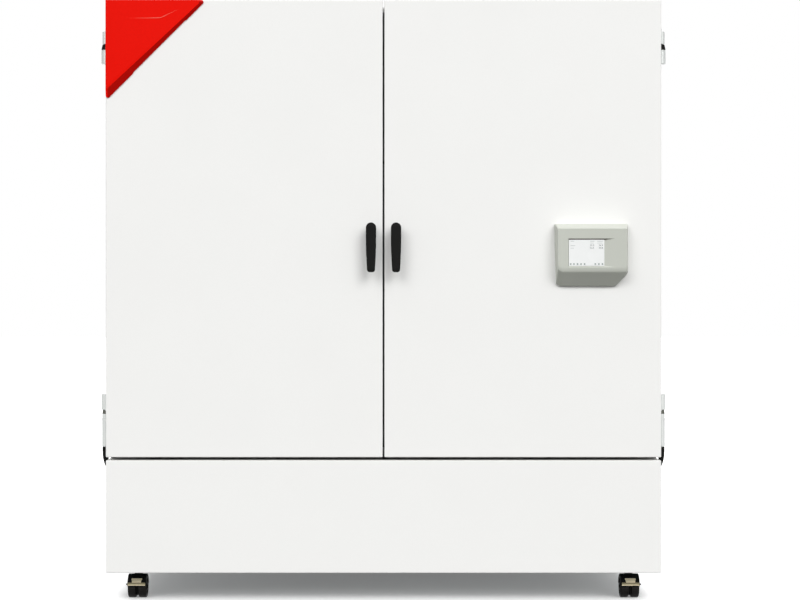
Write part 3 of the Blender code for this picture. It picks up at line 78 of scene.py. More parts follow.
def outline_at(across: float, up: float, *points: Point) -> Outline:
    """An outline given in millimetres round a point of a plane."""
    return [(across + u * MM, up + v * MM) for u, v in points]


def pivot(body: str) -> Vector:
    """The place of the joint that moves a body."""
    return next(Vector(j["pos_m"]) for j in frame["joints"] if j["child"] == body)


# Nodes and finishes


def add_node(
    tree: Tree, kind: str, settings: dict | None = None, inputs: dict | None = None
) -> bpy.types.Node:
    """Adds a node, sets its properties and fills its inputs.

    Args:
        tree: The node tree that gets the node.
        kind: Blender's identifier of the node's type.
        settings: Values by the name of the property.
        inputs: A value, or the socket to link from, by the input's name or number.

    Returns:
        The new node.
    """
    node = tree.nodes.new(kind)
    for name, value in (settings or {}).items():
        setattr(node, name, value)
    for key, value in (inputs or {}).items():
        if isinstance(value, Socket):
            tree.links.new(value, node.inputs[key])
        else:
            node.inputs[key].default_value = value
    return node


def linear(code: str) -> tuple[float, float, float, float]:
    """Turns a colour from sRGB to linear.

    Args:
        code: The colour in hex, such as "#21211F".

    Returns:
        Linear red, green, blue and alpha.
    """
    parts = [int(code[i : i + 2], 16) / 255 for i in (1, 3, 5)]
    parts = [c / 12.92 if c <= 0.04045 else ((c + 0.055) / 1.055) ** 2.4 for c in parts]
    return (*parts, 1.0)


class Surface(Enum):
    """How a surface was made, which decides its fine pattern."""

    ORANGE_PEEL = "powder that melted into a skin"
    BRUSHED = "drawn along one way by a belt"
    GRAINED = "moulded in an eroded tool"
    SPANGLED = "plated, in faint crystals"
    CELLULAR = "foamed, in cells"


@dataclass(frozen=True)
class Finish:
    """A real material with the marks of how it was made.

    Grain and relief are real sizes in millimetres. Tone is the share by which the pattern darkens the colour,
    uneven the spread of the roughness, stretch the grain's length along each axis, and slot the material
    slot of the CAD that the finish belongs to.
    """

    name: str
    slot: str
    colour: str
    roughness: float
    surface: Surface
    grain: float
    relief: float
    metallic: float = 0.0
    tone: float = 0.04
    uneven: float = 0.06
    coat: float = 0.0
    specular: float = 0.5
    stretch: tuple[float, float, float] = (1.0, 1.0, 1.0)
    cloud: float = 180.0

    def pattern(self, tree: Tree, place: Socket) -> Socket:
        """Builds the fine pattern.

        Args:
            tree: The material's node tree.
            place: Where in the room the surface lies.

        Returns:
            The pattern's height between 0 and 1.
        """
        inputs = {"Vector": place, "Scale": 1 / (self.grain * MM)}
        if self.surface in (Surface.SPANGLED, Surface.CELLULAR):
            inputs["Randomness"] = 1.0
            return add_node(tree, "ShaderNodeTexVoronoi", {"feature": "F1"}, inputs).outputs["Distance"]
        detail = {Surface.ORANGE_PEEL: 1.0, Surface.BRUSHED: 3.0, Surface.GRAINED: 2.5}[self.surface]
        inputs |= {"Detail": detail, "Roughness": 0.55}
        return add_node(tree, "ShaderNodeTexNoise", None, inputs).outputs["Fac"]

    def material(self) -> bpy.types.Material:
        """Makes the finish a material, once.

        Returns:
            The material, whose patterns all hang on Object coordinates.
        """
        made = bpy.data.materials.get(self.name)
        if made:
            return made
        made = bpy.data.materials.new(self.name)
        made.use_nodes = True
        tree = made.node_tree
        tree.nodes.clear()
        room = add_node(tree, "ShaderNodeTexCoord").outputs["Object"]
        along = [1 / s for s in self.stretch]
        place = add_node(tree, "ShaderNodeMapping", None, {"Vector": room, "Scale": along}).outputs["Vector"]
        height = self.pattern(tree, place)
        wide = {"Vector": room, "Scale": 1 / (self.cloud * MM), "Detail": 3.0, "Roughness": 0.6}
        cloud = add_node(tree, "ShaderNodeTexNoise", None, wide).outputs["Fac"]
        both = add_node(tree, "ShaderNodeMath", {"operation": "MULTIPLY"}, {0: height, 1: cloud}).outputs[0]
        ends = {"Value": both, "From Min": 0.1, "From Max": 0.4}
        share = add_node(tree, "ShaderNodeMapRange", None, ends).outputs["Result"]
        pure = linear(self.colour)
        dark = tuple(c * (1 - self.tone) for c in pure[:3]) + (1.0,)
        mixed = {0: share, 6: dark, 7: pure}
        colour = add_node(tree, "ShaderNodeMix", {"data_type": "RGBA"}, mixed).outputs[2]
        ends = {"Value": cloud, "From Min": 0.3, "From Max": 0.7}
        ends |= {"To Min": self.roughness - self.uneven / 2, "To Max": self.roughness + self.uneven / 2}
        rough = add_node(tree, "ShaderNodeMapRange", None, ends).outputs["Result"]
        relief = {"Height": height, "Distance": self.relief * MM, "Strength": 1.0}
        bump = add_node(tree, "ShaderNodeBump", None, relief).outputs["Normal"]
        inputs = {"Base Color": colour, "Roughness": rough, "Normal": bump, "Metallic": self.metallic}
        inputs["Specular IOR Level"] = self.specular
        if self.coat:
            inputs |= {"Coat Weight": self.coat, "Coat Roughness": 0.08}
        shader = add_node(tree, "ShaderNodeBsdfPrincipled", None, inputs)
        add_node(tree, "ShaderNodeOutputMaterial", None, {"Surface": shader.outputs[0]})
        return made


PEEL, BRUSHED, GRAINED = Surface.ORANGE_PEEL, Surface.BRUSHED, Surface.GRAINED

# Polyester powder coat: an even, slightly wavy skin. Its waves are drawn at 2.5 mm, so that they show.
POWDER_COAT = Finish("powder_coat", "coated_steel", "#F0F0EE", 0.42, PEEL, 2.5, 0.02, tone=0.015)
# Austenitic stainless sheet, belt-brushed: grey with fine lines. The lines are drawn 0.8 mm apart.
STAINLESS_UP = Finish(
    "brushed_stainless_upright", "stainless_steel", "#C9CAC8", 0.30, BRUSHED, 0.8, 0.012, 1.0, 0.16,
    stretch=(1, 1, 60),
)
STAINLESS_ACROSS = replace(STAINLESS_UP, name="brushed_stainless_across", stretch=(60, 1, 1))
# The same sheet on the doors' inner sides, dulled by its drawing lubricant and by cleaning.
STAINLESS_SKIN = replace(STAINLESS_UP, name="brushed_stainless_skin", colour="#9B9C9A", roughness=0.38)
# Electropolished stainless wire and rod: brighter, with no lines left.
BRIGHT_WIRE = Finish(
    "bright_stainless_wire", "stainless_steel", "#D2D3D1", 0.18, GRAINED, 1.2, 0.004, 1.0, 0.08
)
# Zinc-plated sheet: cool grey with pale crystals a few millimetres wide.
ZINC_PLATE = Finish(
    "zinc_plated_steel", "zinc_steel", "#B9BDBD", 0.36, Surface.SPANGLED, 9.0, 0.004, 1.0, 0.22, 0.14
)
# Nickel-plated stamping: a warm, bright mirror with soft marks.
NICKEL = Finish("bright_nickel_plate", "bright_steel", "#D8D4CC", 0.14, GRAINED, 1.5, 0.006, 1.0, 0.10)
# Zinc die casting with a satin silver lacquer, as on hinges.
SATIN_CASTING = Finish("satin_die_casting", "hinge_metal", "#D2D5D3", 0.40, GRAINED, 0.9, 0.012, 0.45, 0.08)
# The casting in the neck of the lower hinge, coloured darker, partly as painted shade under the knuckle.
DARK_CASTING_PAINTED_SHADE = replace(SATIN_CASTING, name="shaded_die_casting", colour="#55574F", roughness=0.48)
# Glass-filled nylon: black, with the fine grain of an eroded mould.
BLACK_NYLON = Finish(
    "black_nylon", "black_plastic", "#171716", 0.50, GRAINED, 0.9, 0.03, tone=0.30, uneven=0.10, specular=0.06
)
# Polyurethane tread: black and slightly glossy where it rolls.
TREAD = Finish(
    "black_polyurethane_tread", "tread", "#110F0D", 0.46, GRAINED, 1.1, 0.02, tone=0.30, uneven=0.12,
    specular=0.14,
)
# ABS in a polished mould: a strong red with a gloss skin. Its bevel gets a darker red as painted shade, and
# its crease a pale pink as painted highlight.
RED_ABS = Finish("red_gloss_abs", "red_plastic", "#EC0E00", 0.34, PEEL, 4.0, 0.006, tone=0.05, specular=0.06)
RED_ABS_PAINTED_SHADE = replace(RED_ABS, name="red_satin_abs", colour="#B00600", roughness=0.40)
RED_ABS_PAINTED_HIGHLIGHT = replace(RED_ABS, name="red_polished_abs", colour="#F4705E", roughness=0.2, specular=0.5)
# Fine-grained ABS of an instrument housing, grey with a touch of green.
GREY_ABS = Finish("grey_grained_abs", "grey_plastic", "#BFC2B9", 0.46, GRAINED, 0.8, 0.015, tone=0.05)
# The same ABS in a paler grey as painted highlight on the faces that look up, and in a darker grey as painted
# shade on the slant below; the first is smoother, the second rougher.
GREY_ABS_PAINTED_HIGHLIGHT = replace(GREY_ABS, name="grey_satin_abs", colour="#D2D5CC", roughness=0.38)
GREY_ABS_PAINTED_SHADE = replace(GREY_ABS, name="grey_matt_abs", colour="#ABAEA5", roughness=0.56)
# Yellow-chromated steel: a thin golden film with a greenish cloud. The toe plate is paled towards white,
# partly as a painted highlight; the hollowed bar gets a darker olive, partly as painted shade.
YELLOW_CHROMATE_PAINTED_LIGHT = Finish(
    "yellow_chromated_steel", "bright_steel", "#FFF0CC", 0.36, GRAINED, 1.2, 0.01, 0.1, tone=0.18, uneven=0.15
)
OLIVE_CHROMATE_PAINTED_SHADE = replace(YELLOW_CHROMATE_PAINTED_LIGHT, name="olive_chromated_steel", colour="#7B745C", metallic=0.8)
# Cover glass over a lit panel: near white, with sharp reflections.
COVER_GLASS = Finish(
    "display_cover_glass", "screen_glass", "#F1F3F2", 0.16, PEEL, 12.0, 0.001, tone=0.03, coat=0.6
)
# A brown-black strip in the slot above the screen, under the recess's upper edge: painted shadow.
VISOR_PAINTED_SHADOW = Finish(
    "visor_felt", "black_plastic", "#4A403A", 0.85, GRAINED, 0.6, 0.02, tone=0.10, specular=0.05
)
# Marks of the lit panel: dark figures, pale bars and green signs.
INK_DARK = Finish("display_dark_marks", "screen_glass", "#6C7173", 0.30, PEEL, 3.0, 0.001, tone=0.05)
INK_PALE = replace(INK_DARK, name="display_pale_marks", colour="#C4C9C8")
INK_GREEN = replace(INK_DARK, name="display_sign_marks", colour="#788C84")
# Soft magnetic seal of dark EPDM, matt with a slight bloom.
SEAL_RUBBER = Finish(
    "dark_seal_rubber", "seal_rubber", "#3A3B3C", 0.68, GRAINED, 0.7, 0.02, tone=0.20, uneven=0.12
)
# Rigid polyurethane foam: cream, with open cells where it was cut.
FOAM = Finish("polyurethane_foam", "foam", "#E6D9B0", 0.88, Surface.CELLULAR, 2.0, 0.15, tone=0.14)
# Stoving enamel on pressed steel: deep black with a gloss.
BLACK_ENAMEL = Finish(
    "black_stoving_enamel", "black_enamel", "#1E1E1F", 0.26, PEEL, 3.0, 0.03, tone=0.20, coat=0.2
)
# Rolled aluminium fins and castings: pale and cool, with the mill's lines drawn 0.8 mm apart.
ALUMINIUM = Finish(
    "rolled_aluminium", "aluminium", "#C9CCCF", 0.33, BRUSHED, 0.8, 0.008, 1.0, 0.12, stretch=(1, 1, 40)
)
# Drawn copper tube, slightly browned.
COPPER = Finish("drawn_copper", "aluminium", "#B87550", 0.28, GRAINED, 2.0, 0.006, 1.0, 0.22)


# Shape helpers


class Face(Enum):
    """A side of a box; each value is the way it looks."""

    LEFT = (-1, 0, 0)
    RIGHT = (1, 0, 0)
    FRONT = (0, -1, 0)
    BACK = (0, 1, 0)
    BOTTOM = (0, 0, -1)
    TOP = (0, 0, 1)


@dataclass(frozen=True)
class Span:
    """An upright box in the room, between its low and its high corner."""

    low: Vector
    high: Vector

    @classmethod
    def of(cls, node: str) -> Span:
        """The box that a CAD node fills at rest."""
        return cls(*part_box(node))

    @property
    def centre(self) -> Vector:
        """The middle of the box."""
        return (self.low + self.high) / 2

    @property
    def size(self) -> Vector:
        """The lengths of the box along X, Y and Z."""
        return self.high - self.low

    def moved(self, low: Point = (0, 0, 0), high: Point = (0, 0, 0)) -> Span:
        """The box with its corners shifted."""
        return Span(self.low + Vector(low), self.high + Vector(high))

    def corner(self, right: int, top: int) -> tuple[float, float]:
        """X and Z of a corner, each named by -1 or 1."""
        return (self.low.x if right < 0 else self.high.x), (self.low.z if top < 0 else self.high.z)


def span(low: Point, high: Point) -> Span:
    """A box from two corners in any order."""
    return Span(Vector(map(min, zip(low, high))), Vector(map(max, zip(low, high))))


def linked(name: str, data: bpy.types.ID) -> Shape:
    """Puts a new object into the scene.

    Args:
        name: Its name.
        data: The mesh, curve, light or camera that it shows.

    Returns:
        The object, at the origin.
    """
    obj = bpy.data.objects.new(name, data)
    bpy.context.scene.collection.objects.link(obj)
    return obj


def as_object(name: str, bm: bmesh.types.BMesh, mend: bool = True) -> Shape:
    """Turns a bmesh in room coordinates into an object at the origin.

    Args:
        name: Its name.
        bm: The shape, which is freed.
        mend: Whether the faces are turned to point out.

    Returns:
        The object.
    """
    if mend:
        bmesh.ops.recalc_face_normals(bm, faces=bm.faces)
    mesh = bpy.data.meshes.new(name)
    bm.to_mesh(mesh)
    bm.free()
    return linked(name, mesh)


def settle(obj: Shape) -> Shape:
    """Applies an object's modifiers, so that its mesh is plain.

    Args:
        obj: The object.

    Returns:
        The same object.
    """
    graph = bpy.context.evaluated_depsgraph_get()
    graph.update()
    source = obj.evaluated_get(graph)
    made = bpy.data.meshes.new_from_object(source, preserve_all_data_layers=True, depsgraph=graph)
    old = obj.data
    obj.modifiers.clear()
    obj.data = made
    bpy.data.meshes.remove(old)
    return obj


def soften(obj: Shape, radius: float, steps: int = 3, angle: float = 30.0) -> Shape:
    """Rounds the edges that turn by more than an angle, and keeps flat faces shaded flat.

    Args:
        obj: The object.
        radius: The edges' radius, or 0 for sharp edges.
        steps: How many facets an edge gets.
        angle: The angle in degrees.

    Returns:
        The same object with a plain mesh.
    """
    obj.data.shade_smooth()
    if radius:
        bevel = obj.modifiers.new("edges", "BEVEL")
        bevel.width = radius
        bevel.segments = steps
        bevel.limit_method = "ANGLE"
        bevel.angle_limit = math.radians(angle)
    obj.modifiers.new("shading", "WEIGHTED_NORMAL").keep_sharp = True
    return settle(obj)


def crisp(obj: Shape, angle: float = 32.0) -> Shape:
    """Shades a turned or lofted shape smooth.

    Args:
        obj: The object.
        angle: The angle in degrees from which an edge stays sharp.

    Returns:
        The same object.
    """
    obj.data.shade_smooth()
    obj.data.set_sharp_from_angle(angle=math.radians(angle))
    return obj


def thicken(obj: Shape, sheet: float, offset: int = -1, even: bool = True) -> None:
    """Gives a surface the thickness of a sheet.

    Args:
        obj: The surface.
        sheet: Its thickness.
        offset: -1 for a sheet behind the surface, 1 for one in front.
        even: Whether folds keep the full thickness.
    """
    wall = obj.modifiers.new("sheet", "SOLIDIFY")
    wall.thickness = sheet
    wall.offset = offset
    wall.use_even_offset = even


def add_box(bm: bmesh.types.BMesh, room: Span) -> None:
    """Adds a cube that is stretched over a box.

    Args:
        bm: The mesh that gets the cube.
        room: The box.
    """
    verts = bmesh.ops.create_cube(bm, size=1.0)["verts"]
    bmesh.ops.scale(bm, vec=room.size, verts=verts)
    bmesh.ops.translate(bm, vec=room.centre, verts=verts)


def block(name: str, room: Span, radius: float = 0.6 * MM, steps: int = 3) -> Shape:
    """A solid with rounded edges that fills a box.

    Args:
        name: Its name.
        room: The box.
        radius: The edges' radius.
        steps: How many facets an edge gets.

    Returns:
        The solid.
    """
    bm = bmesh.new()
    add_box(bm, room)
    return soften(as_object(name, bm), radius, steps)


def pan(name: str, room: Span, open_sides: Iterable[Face], radius: float, sheet: float = SHEET) -> Shape:
    """A folded sheet-metal pan.

    Args:
        name: Its name.
        room: The box that the pan fills.
        open_sides: The sides without a wall.
        radius: The outer radius of its folds.
        sheet: The wall, inside the box, or outside it where it is negative.

    Returns:
        The pan with its wall.
    """
    bm = bmesh.new()
    add_box(bm, room)
    bm.normal_update()
    gone = [f for f in bm.faces if any(f.normal.dot(Vector(side.value)) > 0.9 for side in open_sides)]
    bmesh.ops.delete(bm, geom=gone, context="FACES")
    folds = [e for e in bm.edges if not e.is_boundary]
    bmesh.ops.bevel(bm, geom=folds, offset=radius, segments=5, profile=0.5, affect="EDGES")
    obj = as_object(name, bm, mend=False)
    thicken(obj, abs(sheet), -1 if sheet > 0 else 1)
    return soften(obj, 0)


def ring_loft(name: str, rings: Sequence[Sequence[Point]], capped: bool = True) -> Shape:
    """A body through rings of the same number of points.

    Args:
        name: Its name.
        rings: The rings, one after the other.
        capped: Whether the first and the last ring are closed; else the body runs back to its first ring.

    Returns:
        The body.
    """
    bm = bmesh.new()
    made = [[bm.verts.new(point) for point in ring] for ring in rings]
    follow = made[1:] if capped else made[1:] + made[:1]
    for ring, after in zip(made, follow):
        for i, vert in enumerate(ring):
            j = (i + 1) % len(ring)
            bm.faces.new((vert, ring[j], after[j], after[i]))
    if capped:
        bm.faces.new(made[0])
        bm.faces.new(made[-1])
    return as_object(name, bm)


def mitred(name: str, start: Span, end: Span, front: float, section: Sequence[Point]) -> Shape:
    """A closed frame with mitred corners.

    Args:
        name: Its name.
        start: The box on whose sides a share of 0 lies.
        end: The box on whose sides a share of 1 lies.
        front: The y from which depths count.
        section: The frame's section as points of share and depth.

    Returns:
        The frame.
    """
    rings = []
    for right, top in ((-1, -1), (1, -1), (1, 1), (-1, 1)):
        (x0, z0), (x1, z1) = start.corner(right, top), end.corner(right, top)
        wide, high = x1 - x0, z1 - z0
        rings.append([(x0 + wide * share, front + depth, z0 + high * share) for share, depth in section])
    return ring_loft(name, rings, capped=False)


def turned(name: str, profile: Sequence[Point], base: Point, axis: Point, steps: int = 64) -> Shape:
    """A turned body.

    Args:
        name: Its name.
        profile: Its outline as radius and height; a radius of 0 closes the body on its axis.
        base: The point of the axis from which heights count.
        axis: The axis's direction.
        steps: How many facets go round.

    Returns:
        The body, shaded smooth up to its edges.
    """
    bm = bmesh.new()
    rings = []
    for radius, height in profile:
        if radius < 0.01 * MM:
            rings.append([bm.verts.new((0, 0, height))])
            continue
        turns = [2 * math.pi * i / steps for i in range(steps)]
        rings.append([bm.verts.new((radius * math.cos(t), radius * math.sin(t), height)) for t in turns])
    pairs = list(zip(rings, rings[1:]))
    if len(rings[0]) > 1:
        pairs.append((rings[-1], rings[0]))
    for ring, after in pairs:
        for i in range(steps):
            j = (i + 1) % steps
            corners = [ring[i % len(ring)], ring[j % len(ring)], after[j % len(after)], after[i % len(after)]]
            unique = list(dict.fromkeys(corners))
            if len(unique) > 2:
                bm.faces.new(unique)
    turn = Vector(Z).rotation_difference(Vector(axis)).to_matrix().to_4x4()
    bmesh.ops.transform(bm, matrix=Matrix.Translation(Vector(base)) @ turn, verts=bm.verts)
    return crisp(as_object(name, bm))


def rod(
    name: str, start: Point, end: Point, radius: float, edge: float = 0.5 * MM, tip: float = 0.0
) -> Shape:
    """A round bar with broken edges.

    Args:
        name: Its name.
        start: Where its axis begins.
        end: Where its axis ends.
        radius: Its radius.
        edge: The size of its broken edges.
        tip: The radius at its end, if it tapers.

    Returns:
        The bar.
    """
    run = Vector(end) - Vector(start)
    tip = tip or radius
    profile = [(0, 0), (radius - edge, 0), (radius, edge), (tip, run.length - edge)]
    profile += [(tip - edge, run.length), (0, run.length)]
    return turned(name, profile, start, run, 40)


def prism(name: str, outline: Sequence[Point], axis: int, start: float, end: float) -> Shape:
    """An outline pushed along an axis of the room.

    Args:
        name: Its name.
        outline: Points that give the other two axes in order.
        axis: 0, 1 or 2 for X, Y or Z.
        start: Where it begins on that axis.
        end: Where it ends.

    Returns:
        The body.
    """
    return ring_loft(name, [[(*p[:axis], level, *p[axis:]) for p in outline] for level in (start, end)])


def arc(centre: Point, radius: float, start: float, end: float, steps: int) -> Outline:
    """Points on an arc in a plane, both ends included, its angles in degrees."""
    angles = [math.radians(start + (end - start) * i / steps) for i in range(steps + 1)]
    return [(centre[0] + radius * math.cos(a), centre[1] + radius * math.sin(a)) for a in angles]


def fillet(route: Sequence[Point], radius: float, steps: int = 6) -> list[Vector]:
    """Rounds the corners of a route in space.

    Args:
        route: The route's points.
        radius: How far from a corner its curve begins.
        steps: How many pieces a curve gets.

    Returns:
        The points of the rounded route.
    """
    points = [Vector(p) for p in route]
    made = [points[0]]
    for before, corner, after in zip(points, points[1:], points[2:]):
        start = corner + (before - corner).normalized() * radius
        end = corner + (after - corner).normalized() * radius
        for t in (i / steps for i in range(steps + 1)):
            made.append(start * (1 - t) ** 2 + corner * 2 * t * (1 - t) + end * t**2)
    return made + [points[-1]]


def from_curve(name: str, curve: bpy.types.Curve) -> Shape:
    """Turns a curve into an object with a mesh.

    Args:
        name: Its name.
        curve: The curve, which is used up.

    Returns:
        The object.
    """
    holder = linked(name, curve)
    mesh = bpy.data.meshes.new_from_object(holder)
    bpy.data.objects.remove(holder)
    return linked(name, mesh)


def tube(name: str, route: Sequence[Point], radius: float, bend: float) -> Shape:
    """A round tube or wire.

    Args:
        name: Its name.
        route: The corners of its axis.
        radius: Its radius.
        bend: How far from a corner its bend begins.

    Returns:
        The tube, closed at its ends.
    """
    curve = bpy.data.curves.new(name, "CURVE")
    curve.dimensions = "3D"
    curve.bevel_depth = radius
    curve.bevel_resolution = 3
    curve.use_fill_caps = True
    points = fillet(route, bend)
    line = curve.splines.new("POLY")
    line.points.add(len(points) - 1)
    for point, at in zip(line.points, points):
        point.co = (*at, 1.0)
    return crisp(from_curve(name, curve), 60)


def combined(name: str, parts: Sequence[Shape]) -> Shape:
    """Joins several objects; their shading is kept.

    Args:
        name: The name of the whole.
        parts: The objects, which are used up.

    Returns:
        The whole.
    """
    first = parts[0]
    with bpy.context.temp_override(
        active_object=first, object=first, selected_objects=parts, selected_editable_objects=parts
    ):
        bpy.ops.object.join()
    first.name = first.data.name = name
    return first


def cut(target: Shape, *cutters: Shape) -> Shape:
    """Cuts shapes out of a piece.

    Args:
        target: The piece.
        cutters: The shapes, which are used up.

    Returns:
        The piece.
    """
    for cutter in cutters:
        bite = target.modifiers.new("cut", "BOOLEAN")
        bite.operation = "DIFFERENCE"
        bite.solver = "EXACT"
        bite.object = cutter
    settle(target)
    for cutter in cutters:
        bpy.data.objects.remove(cutter)
    return target


def shifted(obj: Shape, step: Point) -> Shape:
    """Moves a shape's mesh and leaves its object at the origin."""
    obj.data.transform(Matrix.Translation(Vector(step)))
    return obj


def spaced(low: float, high: float, pitch: float) -> list[float]:
    """Even places from one end to the other, about a pitch apart."""
    count = max(1, round((high - low) / pitch))
    return [low + (high - low) * i / count for i in range(count + 1)]


# Patterns made by Geometry Nodes


def new_tree(name: str, **sockets: str) -> tuple[Tree, bpy.types.bpy_prop_collection]:
    """A geometry tree with named inputs.

    Args:
        name: The tree's name.
        sockets: Each input's socket type by its name, with "_" for a space.

    Returns:
        The tree and the sockets of its group input node.
    """
    tree = bpy.data.node_groups.new(name, "GeometryNodeTree")
    tree.interface.new_socket("Geometry", in_out="OUTPUT", socket_type="NodeSocketGeometry")
    inputs = {"Geometry": "Geometry", "Shape": "Object", "Finish": "Material"} | sockets
    for label, kind in inputs.items():
        tree.interface.new_socket(label.replace("_", " "), in_out="INPUT", socket_type=f"NodeSocket{kind}")
    return tree, add_node(tree, "NodeGroupInput").outputs


def spread(tree: Tree, points: Socket, shape: Socket, turn: Socket | None = None) -> Socket:
    """Sets a shape on each point.

    Args:
        tree: The tree.
        points: The points.
        shape: The shape.
        turn: How each copy is turned.

    Returns:
        The copies.
    """
    inputs = {"Points": points, "Instance": shape} | ({"Rotation": turn} if turn else {})
    return add_node(tree, "GeometryNodeInstanceOnPoints", None, inputs).outputs[0]


def shape_of(tree: Tree, given: bpy.types.bpy_prop_collection) -> Socket:
    """The geometry of the object that a tree is given as its shape."""
    return add_node(tree, "GeometryNodeObjectInfo", None, {"Object": given["Shape"]}).outputs["Geometry"]


def end_tree(tree: Tree, shape: Socket, finish: Socket) -> Tree:
    """Makes a tree's instances real, gives them their material and hands them out.

    Args:
        tree: The tree.
        shape: The instances.
        finish: Their material.

    Returns:
        The finished tree.
    """
    real = add_node(tree, "GeometryNodeRealizeInstances", None, {"Geometry": shape}).outputs[0]
    dressed = add_node(tree, "GeometryNodeSetMaterial", None, {"Geometry": real, "Material": finish})
    add_node(tree, "NodeGroupOutput", None, {"Geometry": dressed.outputs[0]})
    return tree


def rows_tree() -> Tree:
    """Repeats a shape in rows.

    Returns:
        A tree with counts and steps along two ways of the room.
    """
    tree, given = new_tree("rows_of_a_shape", Count_A="Int", Count_B="Int", Step_A="Vector", Step_B="Vector")
    lines = []
    for way in "AB":
        sockets = {"Count": given[f"Count {way}"], "Offset": given[f"Step {way}"]}
        lines.append(add_node(tree, "GeometryNodeMeshLine", {"mode": "OFFSET"}, sockets).outputs[0])
    shape = shape_of(tree, given)
    for line in lines:
        shape = spread(tree, line, shape)
    return end_tree(tree, shape, given["Finish"])


def ring_tree() -> Tree:
    """Repeats a shape round an axis through a centre.

    Returns:
        A tree with a count, a centre and an axis.
    """
    tree, given = new_tree("ring_of_a_shape", Count="Int", Centre="Vector", Axis="Vector")
    points = add_node(tree, "GeometryNodePoints", None, {"Count": given["Count"]}).outputs[0]
    angle = add_node(tree, "GeometryNodeInputIndex").outputs[0]
    for operation, value in (("DIVIDE", given["Count"]), ("MULTIPLY", 2 * math.pi)):
        angle = add_node(tree, "ShaderNodeMath", {"operation": operation}, {0: angle, 1: value}).outputs[0]
    turn = {"Axis": given["Axis"], "Angle": angle}
    turn = add_node(tree, "FunctionNodeAxisAngleToRotation", None, turn).outputs[0]
    copies = spread(tree, points, shape_of(tree, given), turn)
    moved = {"Geometry": copies, "Translation": given["Centre"]}
    moved = add_node(tree, "GeometryNodeTransform", None, moved).outputs[0]
    return end_tree(tree, moved, given["Finish"])


def fixings_tree() -> Tree:
    """Sets a shape on each point of a mesh, its +Z turned along the point's facing attribute.

    Returns:
        The tree.
    """
    tree, given = new_tree("fixings_on_points")
    named = {"data_type": "FLOAT_VECTOR"}
    facing = add_node(tree, "GeometryNodeInputNamedAttribute", named, {"Name": "facing"}).outputs["Attribute"]
    turn = add_node(tree, "FunctionNodeAlignRotationToVector", {"axis": "Z"}, {"Vector": facing}).outputs[0]
    return end_tree(tree, spread(tree, given["Geometry"], shape_of(tree, given), turn), given["Finish"])


@dataclass
class Patterns:
    """The three trees, and the calls that turn them into plain meshes."""

    rows: Tree = field(default_factory=rows_tree)
    ring: Tree = field(default_factory=ring_tree)
    fixings: Tree = field(default_factory=fixings_tree)

    def grow(self, name: str, mesh: bpy.types.Mesh, tree: Tree, finish: Finish, values: dict) -> Shape:
        """Runs a tree on a mesh.

        Args:
            name: The object's name.
            mesh: What the tree is given.
            tree: One of the three trees.
            finish: The material of what it makes.
            values: The tree's other inputs by name; the shape among them is used up.

        Returns:
            An object with a plain mesh.
        """
        obj = linked(name, mesh)
        modifier = obj.modifiers.new("pattern", "NODES")
        modifier.node_group = tree
        values = values | {"Finish": finish.material()}
        for item in tree.interface.items_tree:
            if item.name in values:
                modifier[item.identifier] = values[item.name]
        settle(obj)
        obj.data.materials.clear()
        obj.data.materials.append(finish.material())
        bpy.data.objects.remove(values["Shape"])
        return obj

    def in_rows(
        self, name: str, shape: Shape, counts: Point, steps: Sequence[Point], finish: Finish
    ) -> Shape:
        """Repeats a shape along two steps of the room.

        Args:
            name: The object's name.
            shape: The shape, which is used up.
            counts: How many copies there are along each step.
            steps: The two steps.
            finish: The copies' material.

        Returns:
            All copies as one object.
        """
        values = {"Shape": shape, "Count A": counts[0], "Count B": counts[1]}
        values |= {"Step A": steps[0], "Step B": steps[1]}
        return self.grow(name, bpy.data.meshes.new(name), self.rows, finish, values)

    def in_line(self, name: str, shape: Shape, count: int, step: Point, finish: Finish) -> Shape:
        """Repeats a shape along one step of the room."""
        return self.in_rows(name, shape, (1, count), ((0, 0, 0), step), finish)

    def in_ring(
        self, name: str, shape: Shape, count: int, centre: Point, axis: Point, finish: Finish
    ) -> Shape:
        """Repeats a shape, made about the origin, round an axis through a centre."""
        values = {"Shape": shape, "Count": count, "Centre": centre, "Axis": axis}
        return self.grow(name, bpy.data.meshes.new(name), self.ring, finish, values)

    def screws(
        self, name: str, places: Sequence[Point], facing: Point, finish: Finish, radius: float = 3.6 * MM
    ) -> Shape:
        """Button-head screws with a six-sided socket.

        Args:
            name: Its name.
            places: Where their flat sides lie.
            facing: Which way their heads look.
            finish: Their material.
            radius: The radius of a head.

        Returns:
            All screws as one object.
        """
        mesh = bpy.data.meshes.new(name)
        mesh.from_pydata([Vector(p) for p in places], [], [])
        for way in mesh.attributes.new("facing", "FLOAT_VECTOR", "POINT").data:
            way.vector = facing
        return self.grow(name, mesh, self.fixings, finish, {"Shape": screw_head(radius)})


def screw_head(radius: float) -> Shape:
    """A button head about the origin, its top towards +Z.

    Args:
        radius: Its radius.

    Returns:
        The head.
    """
    steps = 24
    height, socket = radius * 0.55, radius * 0.48
    rings = []
    for share, level in ((0.2, 0.0), (1.0, 0.0), (1.0, 0.15), (0.93, 0.5), (0.78, 0.8), (0.6, 0.96)):
        rings.append([(*p, height * level) for p in arc((0, 0), radius * share, 0, 360, steps)[:-1]])
    for level in (1.0, 0.35):
        ring = []
        for i in range(steps):
            turn = 2 * math.pi * i / steps
            flat = socket * math.cos(math.pi / 6) / math.cos(turn % (math.pi / 3) - math.pi / 6)
            ring.append((flat * math.cos(turn), flat * math.sin(turn), height * level))
        rings.append(ring)
    return crisp(ring_loft("screw_head", rings), 40)


# Every piece is handed over here


def dress(piece: Shape, finish: Finish, body: str, *nodes: str) -> None:
    """Gives a finished piece its material and hands it over.

    Args:
        piece: The piece.
        finish: Its finish, which also names its slot.
        body: The CAD body that it rides on.
        nodes: The CAD nodes that it stands for.
    """
    piece.data.materials.clear()
    piece.data.materials.append(finish.material())
    hand_over(piece, finish.slot, body, *nodes)


